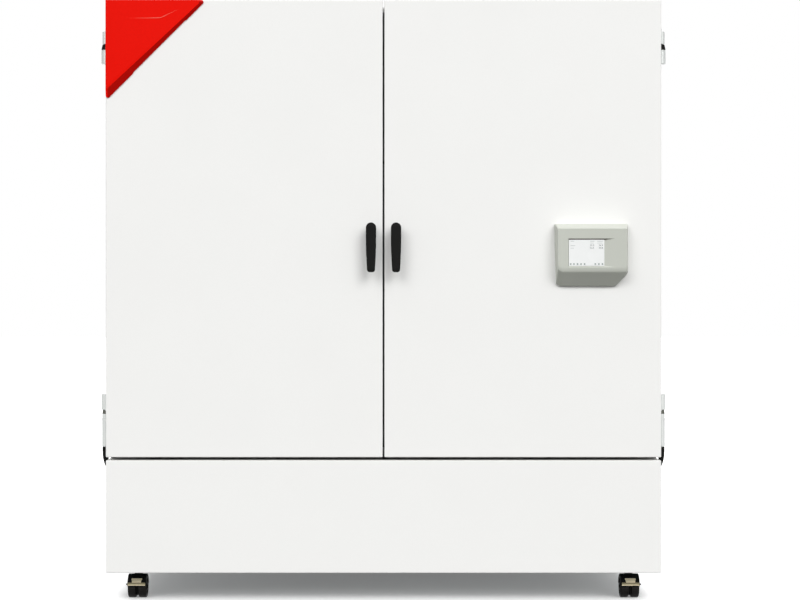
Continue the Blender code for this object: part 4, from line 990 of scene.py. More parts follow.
def dress_faces(
    piece: Shape, finishes: Sequence[Finish], pick: Callable[[Vector], int], body: str, *nodes: str
) -> None:
    """Gives the faces of a finished piece their materials and hands it over.

    Args:
        piece: The piece.
        finishes: Its finishes, all of one slot.
        pick: Gives the number of a face's finish from the face's normal.
        body: The CAD body that it rides on.
        nodes: The CAD nodes that it stands for.
    """
    piece.data.materials.clear()
    for finish in finishes:
        piece.data.materials.append(finish.material())
    for face in piece.data.polygons:
        face.material_index = pick(face.normal)
    hand_over(piece, finishes[0].slot, body, *nodes)


def hand_over(piece: Shape, slot: str, body: str, *nodes: str) -> None:
    """Puts a piece that has its material on its body, and reports it.

    Args:
        piece: The piece.
        slot: Its material slot; not used.
        body: The CAD body that it rides on.
        nodes: The CAD nodes that it stands for.
    """
    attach(piece, body)
    if nodes:
        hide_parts(*nodes)
    LOG.info("%s rides on %s in %s", piece.name, body, piece.data.materials[0].name)


def dress_node(name: str, finish: Finish) -> None:
    """Gives a CAD node that stays in view its finish.

    Args:
        name: The node's name.
        finish: Its finish.
    """
    for slot in frame["nodes"][name].material_slots:
        slot.material = finish.material()
    LOG.info("%s keeps its CAD shape in %s", name, finish.name)


# Sub-assemblies


class Side(Enum):
    """A side of the cabinet, seen from the front; each value is the side's sign in x."""

    LEFT = -1
    RIGHT = 1

    @property
    def label(self) -> str:
        """The side's word in the names of nodes and pieces."""
        return self.name.lower()


class Level(Enum):
    """A height of hinges and shelves; each value is its word in the names of nodes and pieces."""

    LOWER = "lower"
    MIDDLE = "middle"
    UPPER = "upper"


@dataclass
class Cabinet:
    """The insulated body: housing, plinth, rear panel, front frame and chamber."""

    patterns: Patterns
    fold: float = 3 * MM
    plinth_fold: float = 2 * MM
    plinth_return: float = 20 * MM
    chamber_radius: float = 14 * MM
    screw_inset: float = 12 * MM
    screw_pitch: float = 200 * MM
    screw_sink: float = 1.2 * MM
    louvre_width: float = 240 * MM
    louvre_height: float = 6 * MM
    louvre_pitch: float = 20 * MM
    louvre_start: float = 70 * MM
    louvre_rows: int = 7

    def build(self) -> None:
        """Builds and dresses every piece of the body."""
        self.housing()
        self.plinth()
        self.rear_panel()
        self.inlet()
        self.mouth()
        dress_node("insulation_body", FOAM)

    def housing(self) -> None:
        """The wrapped sheet with rounded upper edges, and the floor under the insulation."""
        room = Span.of("outer_housing")
        wrap = pan("housing_wrap", room, (Face.FRONT, Face.BACK, Face.BOTTOM), self.fold)
        level = Span.of("front_frame").low.z
        low, high = (room.low.x + SHEET, room.low.y, level), (room.high.x - SHEET, room.high.y, level + SHEET)
        floor = block("housing_floor", span(low, high), 0.3 * MM)
        dress(combined("housing_skin", [wrap, floor]), POWDER_COAT, "cabinet", "outer_housing")

    def plinth(self) -> None:
        """The pan in front of the machine compartment, open below behind its short return."""
        room = Span.of("plinth_panel")
        cover = pan("plinth_cover", room, (Face.BACK,), self.plinth_fold)
        low = (room.low.x + SHEET, room.low.y + self.plinth_return, room.low.z - SHEET)
        high = (room.high.x - SHEET, room.high.y + SHEET, room.low.z + 2 * SHEET)
        soften(cut(cover, block("plinth_opening", span(low, high), 0)), 0)
        dress(cover, POWDER_COAT, "cabinet", "plinth_panel")

    def rear_panel(self) -> None:
        """The rear sheet with two fields of pressed louvres, its screws and the inlet's window."""
        room = Span.of("rear_panel")
        panel = block("rear_sheet", room, 0.4 * MM, 2)
        z, step = room.low.z + self.louvre_start, (0, 0, self.louvre_pitch)
        lips = []
        for machine in ("condenser", "compressor"):
            middle = Span.of(machine).centre.x
            left, right = middle - self.louvre_width / 2, middle + self.louvre_width / 2
            low, high = (left, room.low.y - SHEET, z), (right, room.high.y + SHEET, z + self.louvre_height)
            slot = block("louvre_slot", span(low, high), 2.5 * MM)
            cut(panel, self.patterns.in_line("louvre_slots", slot, self.louvre_rows, step, POWDER_COAT))
            lip = self.louvre_lip(left, right, room.low.y, z)
            lips.append(self.patterns.in_line("louvre_lips", lip, self.louvre_rows, step, POWDER_COAT))
        window = Span.of("mains_inlet").moved(high=(0, SHEET, 0))
        soften(cut(panel, block("inlet_window", window, 0)), 0)
        dress(combined("rear_sheet", [panel, *lips]), POWDER_COAT, "cabinet", "rear_panel")
        screws = self.patterns.screws("rear_panel_screws", self.screw_places(room), Y, ZINC_PLATE)
        dress(shifted(screws, (0, -self.screw_sink, 0)), ZINC_PLATE, "cabinet")

    def louvre_lip(self, left: float, right: float, y: float, z: float) -> Shape:
        """The lip that the press leaves behind a slot, leaning inwards and down.

        Args:
            left: Where the slot begins.
            right: Where it ends.
            y: The sheet's inner side.
            z: The slot's lower edge.

        Returns:
            The lip.
        """
        top = z + self.louvre_height
        outline = [(y, top), (y, top - SHEET * 0.7), (y - 7 * MM, z - 1 * MM), (y - 7.6 * MM, z)]
        return soften(prism("louvre_lip", outline, 0, left, right), 0.2 * MM, 2)

    def screw_places(self, room: Span) -> list[Point]:
        """Points round the rear panel at an even pitch.

        Args:
            room: The panel's box.

        Returns:
            Points on its outer face.
        """
        inset = self.screw_inset
        places = []
        for x in spaced(room.low.x + inset, room.high.x - inset, self.screw_pitch):
            places += [(x, room.high.y, room.low.z + inset), (x, room.high.y, room.high.z - inset)]
        for z in spaced(room.low.z + inset, room.high.z - inset, self.screw_pitch)[1:-1]:
            places += [(room.low.x + inset, room.high.y, z), (room.high.x - inset, room.high.y, z)]
        return places

    def inlet(self) -> None:
        """The empty appliance inlet with its three blades."""
        room = Span.of("mains_inlet")
        middle, back = room.centre, room.high.y
        floor = back - 20 * MM
        outline = outline_at(middle.x, middle.z, (-13, -9), (13, -9), (13, 4), (8, 9), (-8, 9), (-13, 4))
        pocket = prism("inlet_pocket", outline, 1, floor, back + SHEET)
        body = soften(cut(block("inlet_body", room, 1.2 * MM), pocket), 0)
        dress(body, BLACK_NYLON, "cabinet", "mains_inlet")
        blades = []
        for step, rise in mm((-7, 1.5), (0, -3), (7, 1.5)):
            start = (middle.x + step - 1 * MM, floor - SHEET, middle.z + rise - 2.5 * MM)
            end = (middle.x + step + 1 * MM, back - 4 * MM, middle.z + rise + 2.5 * MM)
            blades.append(block("inlet_blade", span(start, end), 0.5 * MM))
        dress(combined("inlet_blades", blades), NICKEL, "cabinet")

    def mouth(self) -> None:
        """The front frame and the stainless chamber with rounded corners."""
        room, inner = Span.of("front_frame"), Span.of("inner_chamber")
        hole = inner.moved((SHEET, 0, SHEET), (-SHEET, 0, -SHEET))
        section = [(0, 0), (0, room.size.y), (1, room.size.y), (1, 0)]
        rim = soften(mitred("mouth_frame", hole, room, room.low.y, section), 0.6 * MM)
        dress(rim, POWDER_COAT, "cabinet", "front_frame")
        inside = inner.moved((SHEET, 0, SHEET), (-SHEET, -SHEET, -SHEET))
        liner = pan("chamber_liner", inside, (Face.FRONT,), self.chamber_radius, -SHEET)
        dress(liner, STAINLESS_UP, "cabinet", "inner_chamber")


@dataclass
class Door:
    """One door: its panel, inner skin, seal and what is inside."""

    side: Side
    fold: float = 2 * MM
    liner: float = 1.8 * MM
    spindle_hole: float = 6 * MM
    press_corner: float = 16 * MM
    press_edge: float = 5 * MM
    press_gap: float = 12 * MM
    meeting: float = 26 * MM
    foam_inset: float = 17 * MM
    seal_width: float = 20 * MM

    @property
    def name(self) -> str:
        """The door's word in the names of its nodes and pieces."""
        return self.side.label

    @property
    def body(self) -> str:
        """The CAD body that this door's pieces ride on."""
        return f"door_{self.name}"

    def build(self) -> None:
        """Builds and dresses every piece of the door."""
        self.panel()
        self.inner_skin()
        self.seal()
        self.foam()
        dress_node(f"lock_case_{self.name}", ZINC_PLATE)

    def panel(self) -> None:
        """The outer pan with the hole for the lever's spindle."""
        panel = pan(f"door_panel_{self.name}", Span.of(f"door_shell_{self.name}"), (Face.BACK,), self.fold)
        lever = Span.of(f"door_handle_{self.name}")
        x, z = lever.centre.x, lever.high.z - lever.size.x / 2
        y = panel.bound_box[0][1] - SHEET
        hole = rod("spindle_hole", (x, y, z), (x, y + 4 * SHEET, z), self.spindle_hole)
        soften(cut(panel, hole), 0)
        dress(panel, POWDER_COAT, self.body, f"door_shell_{self.name}")

    def inner_skin(self) -> None:
        """The stainless skin with its pressed panel, which reaches into the chamber's mouth."""
        room = Span.of(f"door_liner_{self.name}")
        chamber = Span.of("inner_chamber")
        gap = self.press_gap + SHEET
        near, far = self.side.value * self.meeting, self.side.value * (chamber.high.x - gap)
        press = span((near, 0, chamber.low.z + gap), (far, 0, chamber.high.z - gap))
        flange_y = Span.of(f"door_gasket_{self.name}").low.y - 0.3 * MM
        bm = bmesh.new()

        def rectangle(area: Span, y: float) -> list[bmesh.types.BMVert]:
            """Four corners at one depth, from the low left one round."""
            x0, x1, z0, z1 = area.low.x, area.high.x, area.low.z, area.high.z
            return [bm.verts.new((x, y, z)) for x, z in ((x0, z0), (x1, z0), (x1, z1), (x0, z1))]

        loops = [rectangle(room, flange_y), rectangle(press, flange_y), rectangle(press, room.high.y)]
        for loop, after in zip(loops, loops[1:]):
            for i in range(4):
                j = (i + 1) % 4
                bm.faces.new((loop[j], loop[i], after[i], after[j]))
        bm.faces.new(loops[2][::-1])
        bm.normal_update()
        uprights = [e for e in bm.edges if abs(e.verts[0].co.y - e.verts[1].co.y) > 1 * MM]
        bmesh.ops.bevel(bm, geom=uprights, offset=self.press_corner, segments=6, profile=0.5, affect="EDGES")
        crown = [e for e in bm.edges if all(abs(v.co.y - room.high.y) < 0.01 * MM for v in e.verts)]
        bmesh.ops.bevel(bm, geom=crown, offset=self.press_edge, segments=4, profile=0.5, affect="EDGES")
        skin = as_object(f"door_inner_skin_{self.name}", bm, mend=False)
        thicken(skin, self.liner)
        dress(soften(skin, 0), STAINLESS_SKIN, self.body, f"door_liner_{self.name}")

    def foam(self) -> None:
        """The insulation: a slab in the outer pan and a rounded block behind the pressed panel."""
        room = Span.of(f"door_insulation_{self.name}")
        chamber = Span.of("inner_chamber")
        inset, slack = self.foam_inset, 1 * MM
        flange_y = Span.of(f"door_gasket_{self.name}").low.y - 4 * MM
        slab = Span(room.low, Vector((room.high.x, flange_y, room.high.z)))
        gap = self.press_gap + inset
        near, far = self.side.value * (self.meeting + inset), self.side.value * (chamber.high.x - gap)
        low = (near, flange_y - slack, chamber.low.z + gap)
        high = (far, Span.of(f"door_liner_{self.name}").high.y - inset / 2, chamber.high.z - gap)
        parts = [block("slab", slab, 1 * MM), block("press_core", span(low, high), 1 * MM)]
        dress(combined(f"door_foam_{self.name}", parts), FOAM, self.body, f"door_insulation_{self.name}")

    def seal(self) -> None:
        """The magnetic seal: a foot on the door, a bellows and the flat magnet chamber."""
        room = Span.of(f"door_gasket_{self.name}")
        wide = self.seal_width
        half = [(0.98, 0.0), (1.0, 0.08), (0.95, 0.16), (0.66, 0.22), (0.60, 0.34), (0.86, 0.44)]
        half += [(0.88, 0.54), (0.66, 0.62), (0.84, 0.70), (0.88, 0.92), (0.82, 1.0)]
        outline = [(0.02, 0.0), *half, *[(1 - u, v) for u, v in reversed(half[1:])]]
        section = [(u, v * room.size.y) for u, v in outline]
        inner = room.moved((wide, 0, wide), (-wide, 0, -wide))
        seal = mitred(f"magnetic_seal_{self.name}", room, inner, room.low.y, section)
        dress(soften(seal, 0.3 * MM, 2, 25), SEAL_RUBBER, self.body, f"door_gasket_{self.name}")


@dataclass
class Lever:
    """A door lever with its hub: a round head and a narrower, square-ended grip.

    The belly gives the half width in millimetres by the share of the length from the top.
    """

    side: Side
    thick: float = 15 * MM
    head: float = 11.5 * MM
    grip: float = 9 * MM
    tip: float = 6 * MM
    edge: float = 4 * MM
    crown: float = 0.7 * MM
    belly: tuple[tuple[float, float], ...] = (
        (0.26, 11.5), (0.44, 11.4), (0.60, 11.0), (0.72, 10.3), (0.86, 9.5)
    )

    def outline(self, x: float, top: float, low: float, inset: float) -> Outline:
        """The lever seen from the front.

        Args:
            x: Its middle.
            top: Its upper end.
            low: Its lower end.
            inset: How far the outline is set in.

        Returns:
            The outline's points in x and z.
        """
        radius, half = self.head - inset, self.grip - inset
        tip = max(self.tip - inset, 0.6 * MM)
        sides = [(width * MM - inset, top + (low - top) * share) for share, width in self.belly]
        points = arc((x, top - self.head), radius, 0, 180, 20)
        points += [(x - width, z) for width, z in sides]
        points += arc((x - half + tip, low + inset + tip), tip, 180, 270, 7)
        points += arc((x + half - tip, low + inset + tip), tip, 270, 360, 7)
        return points + [(x + width, z) for width, z in reversed(sides)]

    def layers(self, front: float) -> list[tuple[float, float]]:
        """How the lever's edges round from its face to its back.

        Args:
            front: The depth of its face.

        Returns:
            Depths, each with how far the outline is set in there.
        """
        made = [(front, 8 * MM), (front + self.crown * 0.25, 6 * MM), (front + self.crown, self.edge * 0.9)]
        for turn in (math.radians(15 * step) for step in range(1, 7)):
            depth = front + self.crown + self.edge * (1 - math.cos(turn)) * 0.8
            made.append((depth, self.edge * (1 - math.sin(turn)) * 0.9))
        back = front + self.thick
        return made + [(back - 2 * MM, 0), (back - 0.6 * MM, 0.4 * MM), (back, 1.6 * MM)]

    def build(self) -> None:
        """Builds the lever and its hub as one piece."""
        name = self.side.label
        room = Span.of(f"door_handle_{name}")
        x, top, low = room.centre.x, room.high.z, room.low.z
        rings = []
        for y, inset in self.layers(room.low.y):
            rings.append([(px, y, pz) for px, pz in self.outline(x, top, low, inset)])
        lever = crisp(ring_loft(f"lever_{name}", rings), 35)
        back = room.low.y + self.thick
        length = Span.of(f"door_shell_{name}").low.y - back
        profile = mm((0, -2), (9, -2), (9, 0), (8.2, 2))
        profile += [(7.8 * MM, length * 0.5), (8.4 * MM, length * 0.8)]
        profile += outline_at(0, length, (10, -2.5), (10, -0.3), (4, -0.3))
        profile += [(4 * MM, room.high.y - back), (0, room.high.y - back)]
        hub = turned("lever_hub", profile, (x, back, top - self.head), Y, 48)
        whole = combined(f"lever_{name}", [lever, hub])
        dress(whole, BLACK_NYLON, f"handle_{name}", f"door_handle_{name}")


@dataclass
class CornerCover:
    """The three-cornered red cover on the left door's upper outer corner."""

    high_bevel: float = 6 * MM
    low_bevel: float = 16 * MM
    tip: float = 5 * MM
    notch: float = 1.3 * MM
    notch_start: float = 0.17
    notch_end: float = 0.75
    notch_lean: float = 0.012
    # How far a face must lean towards the long edge before it gets the painted shade.
    edge_slope: float = 0.12
    pixel: float = 2.25 * MM

    def outline(self, room: Span, bevel: float, inset: float, notch: float) -> Outline:
        """The cover seen from the front at one depth, with a shallow notch in its long edge.

        Args:
            room: The cover's box.
            bevel: How much of the long edge's bevel is used up at this depth, 0 to 1.
            inset: How far the two short edges are drawn in.
            notch: The notch's depth.

        Returns:
            The outline's points in x and z.
        """
        left, top = room.low.x + inset, room.high.z - inset
        sharp = room.size.x + self.tip * math.sqrt(2) - 2 * inset
        far_x = left + sharp - self.high_bevel * bevel * math.sqrt(2)
        low_z = top - sharp + self.low_bevel * bevel * math.sqrt(2)
        reach = self.tip * math.tan(math.radians(67.5))
        lower = arc((left + self.tip, low_z + reach), self.tip, 180, 315, 8)
        upper = arc((far_x - reach, top - self.tip), self.tip, -45, 90, 8)
        start, end = Vector(lower[-1]), Vector(upper[0])
        inward = Vector((-1, 1)).normalized()
        first, last, lean = 1 - self.notch_end, 1 - self.notch_start, self.notch_lean
        middle = []
        for share, depth in ((first, 0), (first + lean, notch), (last - lean, notch), (last, 0)):
            middle.append(tuple(start.lerp(end, share) + inward * depth))
        return [(left, top)] + lower + middle + upper

    def tone(self, way: Vector) -> int:
        """The number of a face's finish: a darker red as painted shade where it leans towards the long edge.
        """
        return int(way.dot(Vector((1, 0, -1)).normalized()) > self.edge_slope)

    def build(self) -> None:
        """Builds the cover and the raised crease on its face."""
        room = Span.of("corner_cover")
        rings = []
        levels = ((0, 0, 0, 1), (0.33, 0, 0, 1), (0.80, 0.70, 0, 0.3), (0.942, 0.913, 0.35, 0.1))
        for depth, bevel, inset, notch in (*levels, (1, 1, 1.3, 0)):
            y = room.high.y - room.size.y * depth
            shape = self.outline(room, bevel, inset * MM, notch * self.notch)
            rings.append([(x, y, z) for x, z in shape])
        shell = crisp(ring_loft("corner_cover_shell", rings), 12)
        # Faces that lean towards the long edge get a darker red: painted shade on the bevel.
        dress_faces(shell, (RED_ABS, RED_ABS_PAINTED_SHADE), self.tone, "door_left", "corner_cover")
        self.crease(room)

    def crease(self, room: Span) -> None:
        """The raised line that runs level and then turns up to the tip.

        Args:
            room: The cover's box; the line's points count in pixels of the photo from its upper left corner.
        """
        route = [(20, -18.4), (36, -18.4), (46, -18.4), (54, -18.2), (56.5, -17.6), (60, -15.9), (64, -13.9)]
        route.append((74, -9.2))
        width = (0.0, 0.5, 1.0, 1.15, 1.15, 1.0, 0.75, 0.0)
        y = room.low.y
        rings = []
        for (px, pz), share in zip(route, width):
            x, z = room.low.x + px * self.pixel, room.high.z + pz * self.pixel
            half = max(share, 0.02) * MM
            foot = y + 0.3 * MM
            rings.append([(x, foot, z - half), (x, foot, z + half), (x, y - half * 0.6, z + half * 0.1)])
        # The crease is coloured pale pink as a painted highlight.
        dress(soften(ring_loft("corner_cover_crease", rings), 0), RED_ABS_PAINTED_HIGHLIGHT, "door_left")


@dataclass
class Controller:
    """The controller on the right door: moulded housing, sunk screen and its marks.

    Each step of the path gives how far a ring lies along the way (0 to 1 through the rim, 1 to 2 through
    the rest of the depth), the share of the face's inset, and how far the foot has risen in millimetres.
    """

    rim: float = 16 * MM
    chamfer: float = 32 * MM
    least_cut: float = 4 * MM
    small: float = 3 * MM
    lean: float = 4 * MM
    face_top: float = 11 * MM
    face_left: float = 4.3 * MM
    face_right: float = 4.5 * MM
    sink: float = 3 * MM
    lip: float = 2.9 * MM
    ramp: float = 26 * MM
    pale_above: float = 0.3
    deep_below: float = -0.45
    path: tuple[Point, ...] = (
        (0.0, 0.0, 0.0), (0.30, 0.0, 0.0), (0.43, 0.0, 0.35), (0.53, 0.001, 1.3), (0.62, 0.001, 2.8),
        (0.82, 0.002, 6.2), (0.94, 0.012, 8.2), (1.04, 0.045, 10.2), (1.14, 0.105, 12.8), (1.50, 0.46, 21.7),
        (1.80, 0.78, 29.1), (1.90, 0.90, 32.0), (1.955, 0.99, 35.6), (1.99, 1.06, 39.4), (2.0, 1.16, 42.2),
    )

    def outline(self, width: float, height: float, foot: float) -> Outline:
        """The housing seen from the front at one depth.

        Args:
            width: The width of the housing there.
            height: Its height there.
            foot: How far its lower edge has risen, which uses up the cut corner.

        Returns:
            Points from its lower left corner, as shares of width and height.
        """
        s, c = self.small, max(self.chamfer - foot, self.least_cut)
        low_turn, high_turn = c * 0.31, c * 0.47
        points = arc((s, height - s), s, 90, 180, 6)
        points += arc((s, 2.4 * s), s, 180, 230, 6) + arc((3.4 * s, s), s, 230, 270, 6)
        points += arc((width - c, low_turn), low_turn, 270, 315, 8)
        points += arc((width - high_turn, c + 2 * MM), high_turn, 315, 360, 8)
        points += arc((width - s, height - s), s, 0, 90, 6)
        return [(x / width, z / height) for x, z in points]

    def housing(self) -> Shape:
        """The housing as rings that round from its sides into its sloping faces and its front.

        Returns:
            The housing without its recess.
        """
        room = Span.of("controller_housing")
        depth = room.size.y - self.rim
        rings = []
        for along, inset, foot in self.path:
            y = room.high.y - (min(along, 1) * self.rim + max(along - 1, 0) * depth)
            lean = self.lean * (1 - inset / self.path[-1][1])
            low_x, high_x = room.low.x + self.face_left * inset, room.high.x - self.face_right * inset
            low_z, high_z = room.low.z + foot * MM, room.high.z - self.face_top * inset
            ring = []
            for u, v in self.outline(high_x - low_x, high_z - low_z, foot * MM):
                x = low_x + (high_x - low_x) * u + lean * (1 - u) * (1 - v)
                ring.append((x, y, low_z + (high_z - low_z) * v))
            rings.append(ring)
        return ring_loft("controller_case", rings)

    def tone(self, way: Vector) -> int:
        """The number of a face's finish: a paler grey as painted highlight above, a darker grey as painted
        shade on the slant below, plain between them.
        """
        return 1 if way.z > self.pale_above else 2 if way.z < self.deep_below else 0

    def build(self) -> None:
        """Builds and dresses the housing, the screen and the marks on it."""
        case = self.housing()
        screen = Span.of("controller_screen")
        front = Span.of("controller_housing").low.y
        x0, x1, z0, z1 = screen.low.x, screen.high.x, screen.low.z, screen.high.z

        def rectangle(grow: float, right: float, y: float) -> list[Point]:
            """The recess's outline at one depth."""
            left, low, high = x0 - grow / 2, z0 - grow, z1 + grow
            return [(left, y, low), (x1 + right, y, low), (x1 + right, y, high), (left, y, high)]

        rings = [rectangle(0.3 * MM, 0.3 * MM, front + self.sink)]
        rings += [rectangle(self.lip, self.ramp, y) for y in (front - 0.2 * MM, front - self.rim)]
        soften(cut(case, ring_loft("screen_recess", rings)), 0.35 * MM, 2, 28)
        # Faces that look up get a paler grey as painted highlight, faces on the lower slant a darker grey as
        # painted shade.
        finishes = (GREY_ABS, GREY_ABS_PAINTED_HIGHLIGHT, GREY_ABS_PAINTED_SHADE)
        dress_faces(case, finishes, self.tone, "door_right", "controller_housing")
        glass = block("display_glass", screen, 0.3 * MM)
        dress(glass, COVER_GLASS, "door_right", "controller_screen")
        # A dark strip above the glass, under the recess's upper edge, stands in as painted shadow.
        low, high, end = z1 + 0.4 * MM, z1 + self.lip - 0.1 * MM, x1 + self.ramp - 1 * MM
        slot = [(x0, low), (x1 + 1 * MM, low), (x1 + 12 * MM, low + 1 * MM), (end, high - 0.2 * MM)]
        slot += [(end, high), (x0, high)]
        shade = prism("display_visor_slot", slot, 1, front + 2.9 * MM, front + 0.8 * MM)
        dress(crisp(shade, 30), VISOR_PAINTED_SHADOW, "door_right")
        self.marks(screen)

    def marks(self, screen: Span) -> None:
        """Generic rows, numbers and signs on the screen.

        Args:
            screen: The glass; the marks' places are shares of its width and height.
        """
        y = screen.low.y - 0.02 * MM
        width, height = screen.size.x, screen.size.z

        def bar(u: float, v: float, w: float, h: float) -> Shape:
            """A thin mark between shares of the screen's width and height."""
            x, z = screen.low.x + u * width, screen.low.z + v * height
            return block("mark", span((x, y - 0.03 * MM, z), (x + w * width, y, z + h * height)), 0)

        rows = [(0.05, 0.93, 0.10), (0.60, 0.93, 0.12), (0.80, 0.93, 0.16), (0.60, 0.86, 0.10)]
        rows += [(0.80, 0.86, 0.15), (0.05, 0.765, 0.13), (0.05, 0.665, 0.09)]
        pale = [bar(u, v, w, 0.022) for u, v, w in rows]
        dress(combined("display_row_marks", pale), INK_PALE, "door_right")
        numbers = []
        table = ((0.59, 0.755, "25.0"), (0.84, 0.755, "24.9"), (0.59, 0.655, "50.0"), (0.84, 0.655, "49.8"))
        for u, v, text in table:
            place = (screen.low.x + u * width, y, screen.low.z + v * height)
            numbers.append(self.figures(text, place, 0.066 * height))
        dress(combined("display_figures", numbers), INK_DARK, "door_right")
        signs = []
        for u in (0.03, 0.12, 0.22, 0.32, 0.42, 0.72, 0.82, 0.92):
            signs += [bar(u, 0.040, 0.048, 0.018), bar(u, 0.085, 0.048, 0.016)]
            signs.append(bar(u + 0.016, 0.040, 0.016, 0.06))
        dress(combined("display_signs", signs), INK_GREEN, "door_right")

    def figures(self, text: str, place: Point, height: float) -> Shape:
        """A number that stands on the screen, as a mesh.

        Args:
            text: The number.
            place: Its lower left corner.
            height: The height of a figure.

        Returns:
            The figures' object.
        """
        curve = bpy.data.curves.new("figures", "FONT")
        curve.body = text
        curve.size = height / 0.7
        curve.extrude = 0.02 * MM
        made = from_curve("figures", curve)
        made.data.transform(Matrix.Translation(place) @ Matrix.Rotation(math.pi / 2, 4, "X"))
        return made


@dataclass
class HingeSet:
    """The upper and the lower hinge of one door.

    Knuckles and sleeves are the radii of the leaf's and the bracket's halves by the hinge's level.
    """

    side: Side
    patterns: Patterns
    knuckles: dict[Level, float] = field(
        default_factory=lambda: {Level.UPPER: 7.3 * MM, Level.LOWER: 9.5 * MM}
    )
    sleeves: dict[Level, float] = field(
        default_factory=lambda: {Level.UPPER: 9.5 * MM, Level.LOWER: 8.1 * MM}
    )
    collar_r: float = 8.8 * MM
    collar_h: float = 22 * MM
    tail_tip: float = 3 * MM
    strap: float = 3 * MM
    gap: float = 0.3 * MM
    pin: float = 4 * MM

    @property
    def name(self) -> str:
        """The hinges' word in the names of their nodes and pieces."""
        return self.side.label

    @property
    def axis(self) -> Vector:
        """A point of the hinge's axis."""
        return pivot(f"door_{self.name}")

    def at(self, z: float) -> Point:
        """The point of the hinge's axis at a height."""
        return (self.axis.x, self.axis.y, z)

    @property
    def near(self) -> float:
        """How far from the middle the straps begin, just off the cabinet's side."""
        return Span.of("outer_housing").high.x + self.gap

    def build(self) -> None:
        """Builds and dresses both hinges."""
        for level in (Level.UPPER, Level.LOWER):
            self.leaf(level)
            self.bracket(level)
        self.collar()
        self.tail()

    def plate(self, label: str, ends: tuple[float, float], room: Span) -> Shape:
        """A strap against the cabinet's side.

        Args:
            label: The object's name.
            ends: The depths between which it lies.
            room: The box that gives its height.

        Returns:
            The strap.
        """
        low = (self.side.value * self.near, ends[0], room.low.z)
        high = (self.side.value * (self.near + self.strap), ends[1], room.high.z)
        return block(label, span(low, high), 0.8 * MM)

    def leaf(self, level: Level) -> None:
        """The door's half: knuckle, neck and strap with its screws.

        Args:
            level: The upper or the lower hinge.
        """
        node = f"hinge_leaf_{level.value}_{self.name}"
        room, axis = Span.of(node), self.axis
        radius = self.knuckles[level]
        knuckle = rod("knuckle", self.at(room.low.z), self.at(room.high.z), radius, 1.2 * MM)
        strap = self.plate("strap", (room.low.y, axis.y), room)
        low = (self.side.value * self.near, axis.y - radius + 0.6 * MM, room.low.z + 0.4 * MM)
        neck = block("neck", span(low, (axis.x, axis.y, room.high.z - 0.4 * MM)), 0.5 * MM)
        whole = combined(f"hinge_wing_{level.value}_{self.name}", [knuckle, strap, neck])
        dress(whole, SATIN_CASTING, f"door_{self.name}", node)
        ends = (room.low.y + 12 * MM, room.low.y + 32 * MM)
        self.strap_screws(f"hinge_wing_screws_{level.value}_{self.name}", ends, room, f"door_{self.name}")

    def bracket(self, level: Level) -> None:
        """The cabinet's half: sleeve, plate and pin, and on the lower hinge a stepped ring with a bush
        darkened partly as painted shade.

        Args:
            level: The upper or the lower hinge.
        """
        node = f"hinge_bracket_{level.value}_{self.name}"
        leaf, room, axis = Span.of(f"hinge_leaf_{level.value}_{self.name}"), Span.of(node), self.axis
        top = leaf.low.z - self.collar_h
        if level is Level.UPPER:
            top = Span.of(f"hinge_collar_{self.name}").low.z - self.gap
        sleeve = rod("sleeve", self.at(room.low.z), self.at(top), self.sleeves[level], 1.2 * MM)
        flank = Span(room.low, Vector((room.high.x, room.high.y, top)))
        parts = [sleeve, self.plate("plate", (axis.y, room.high.y), flank)]
        parts.append(rod("pin", self.at(top - 3 * MM), self.at(room.high.z), self.pin))
        if level is Level.LOWER:
            parts.append(self.step(top))
            # The neck under the leaf's knuckle is coloured darker, partly as painted shade.
            height = leaf.low.z - top - self.gap
            neck = mm((0, 12.6), (7.7, 12.6), (7.4, 14), (6.9, 18.5)) + [(6.9 * MM, height), (0, height)]
            bush = turned(f"hinge_neck_{self.name}", neck, self.at(top), Z)
            dress(bush, DARK_CASTING_PAINTED_SHADE, "cabinet")
        dress(combined(f"hinge_bearing_{level.value}_{self.name}", parts), SATIN_CASTING, "cabinet", node)
        ends = (room.high.y - 28 * MM, room.high.y - 10 * MM)
        self.strap_screws(f"hinge_bearing_screws_{level.value}_{self.name}", ends, flank, "cabinet")

    def step(self, low: float) -> Shape:
        """The stepped ring on the lower sleeve: a bead that catches the light and a plain neck.

        Args:
            low: The sleeve's upper end.

        Returns:
            The ring.
        """
        profile = outline_at(self.collar_r, 0, (-0.7, -1), (0, 0.2), (0, 1.2), (-1, 2.6), (-1, 12.6))
        profile = [(0, -1 * MM), *profile, (0, 12.6 * MM)]
        return turned("step", profile, self.at(low), Z)

    def strap_screws(self, label: str, ends: tuple[float, float], room: Span, body: str) -> None:
        """Two screws in a strap's outer face.

        Args:
            label: The object's name.
            ends: The screws' depths.
            room: The box that gives their height.
            body: The CAD body that they ride on.
        """
        x = self.side.value * (self.near + self.strap - 0.4 * MM)
        places = [(x, y, room.centre.z) for y in ends]
        screws = self.patterns.screws(label, places, (self.side.value, 0, 0), NICKEL, 3.2 * MM)
        dress(screws, NICKEL, body)

    def collar(self) -> None:
        """The black bush between the halves of the upper hinge."""
        node = f"hinge_collar_{self.name}"
        room, wide, slim = Span.of(node), self.sleeves[Level.UPPER], self.knuckles[Level.UPPER]
        start, end = self.at(room.low.z), self.at(room.high.z)
        bush = rod(f"hinge_bush_{self.name}", start, end, wide, 0.8 * MM, slim)
        dress(bush, BLACK_NYLON, "cabinet", node)

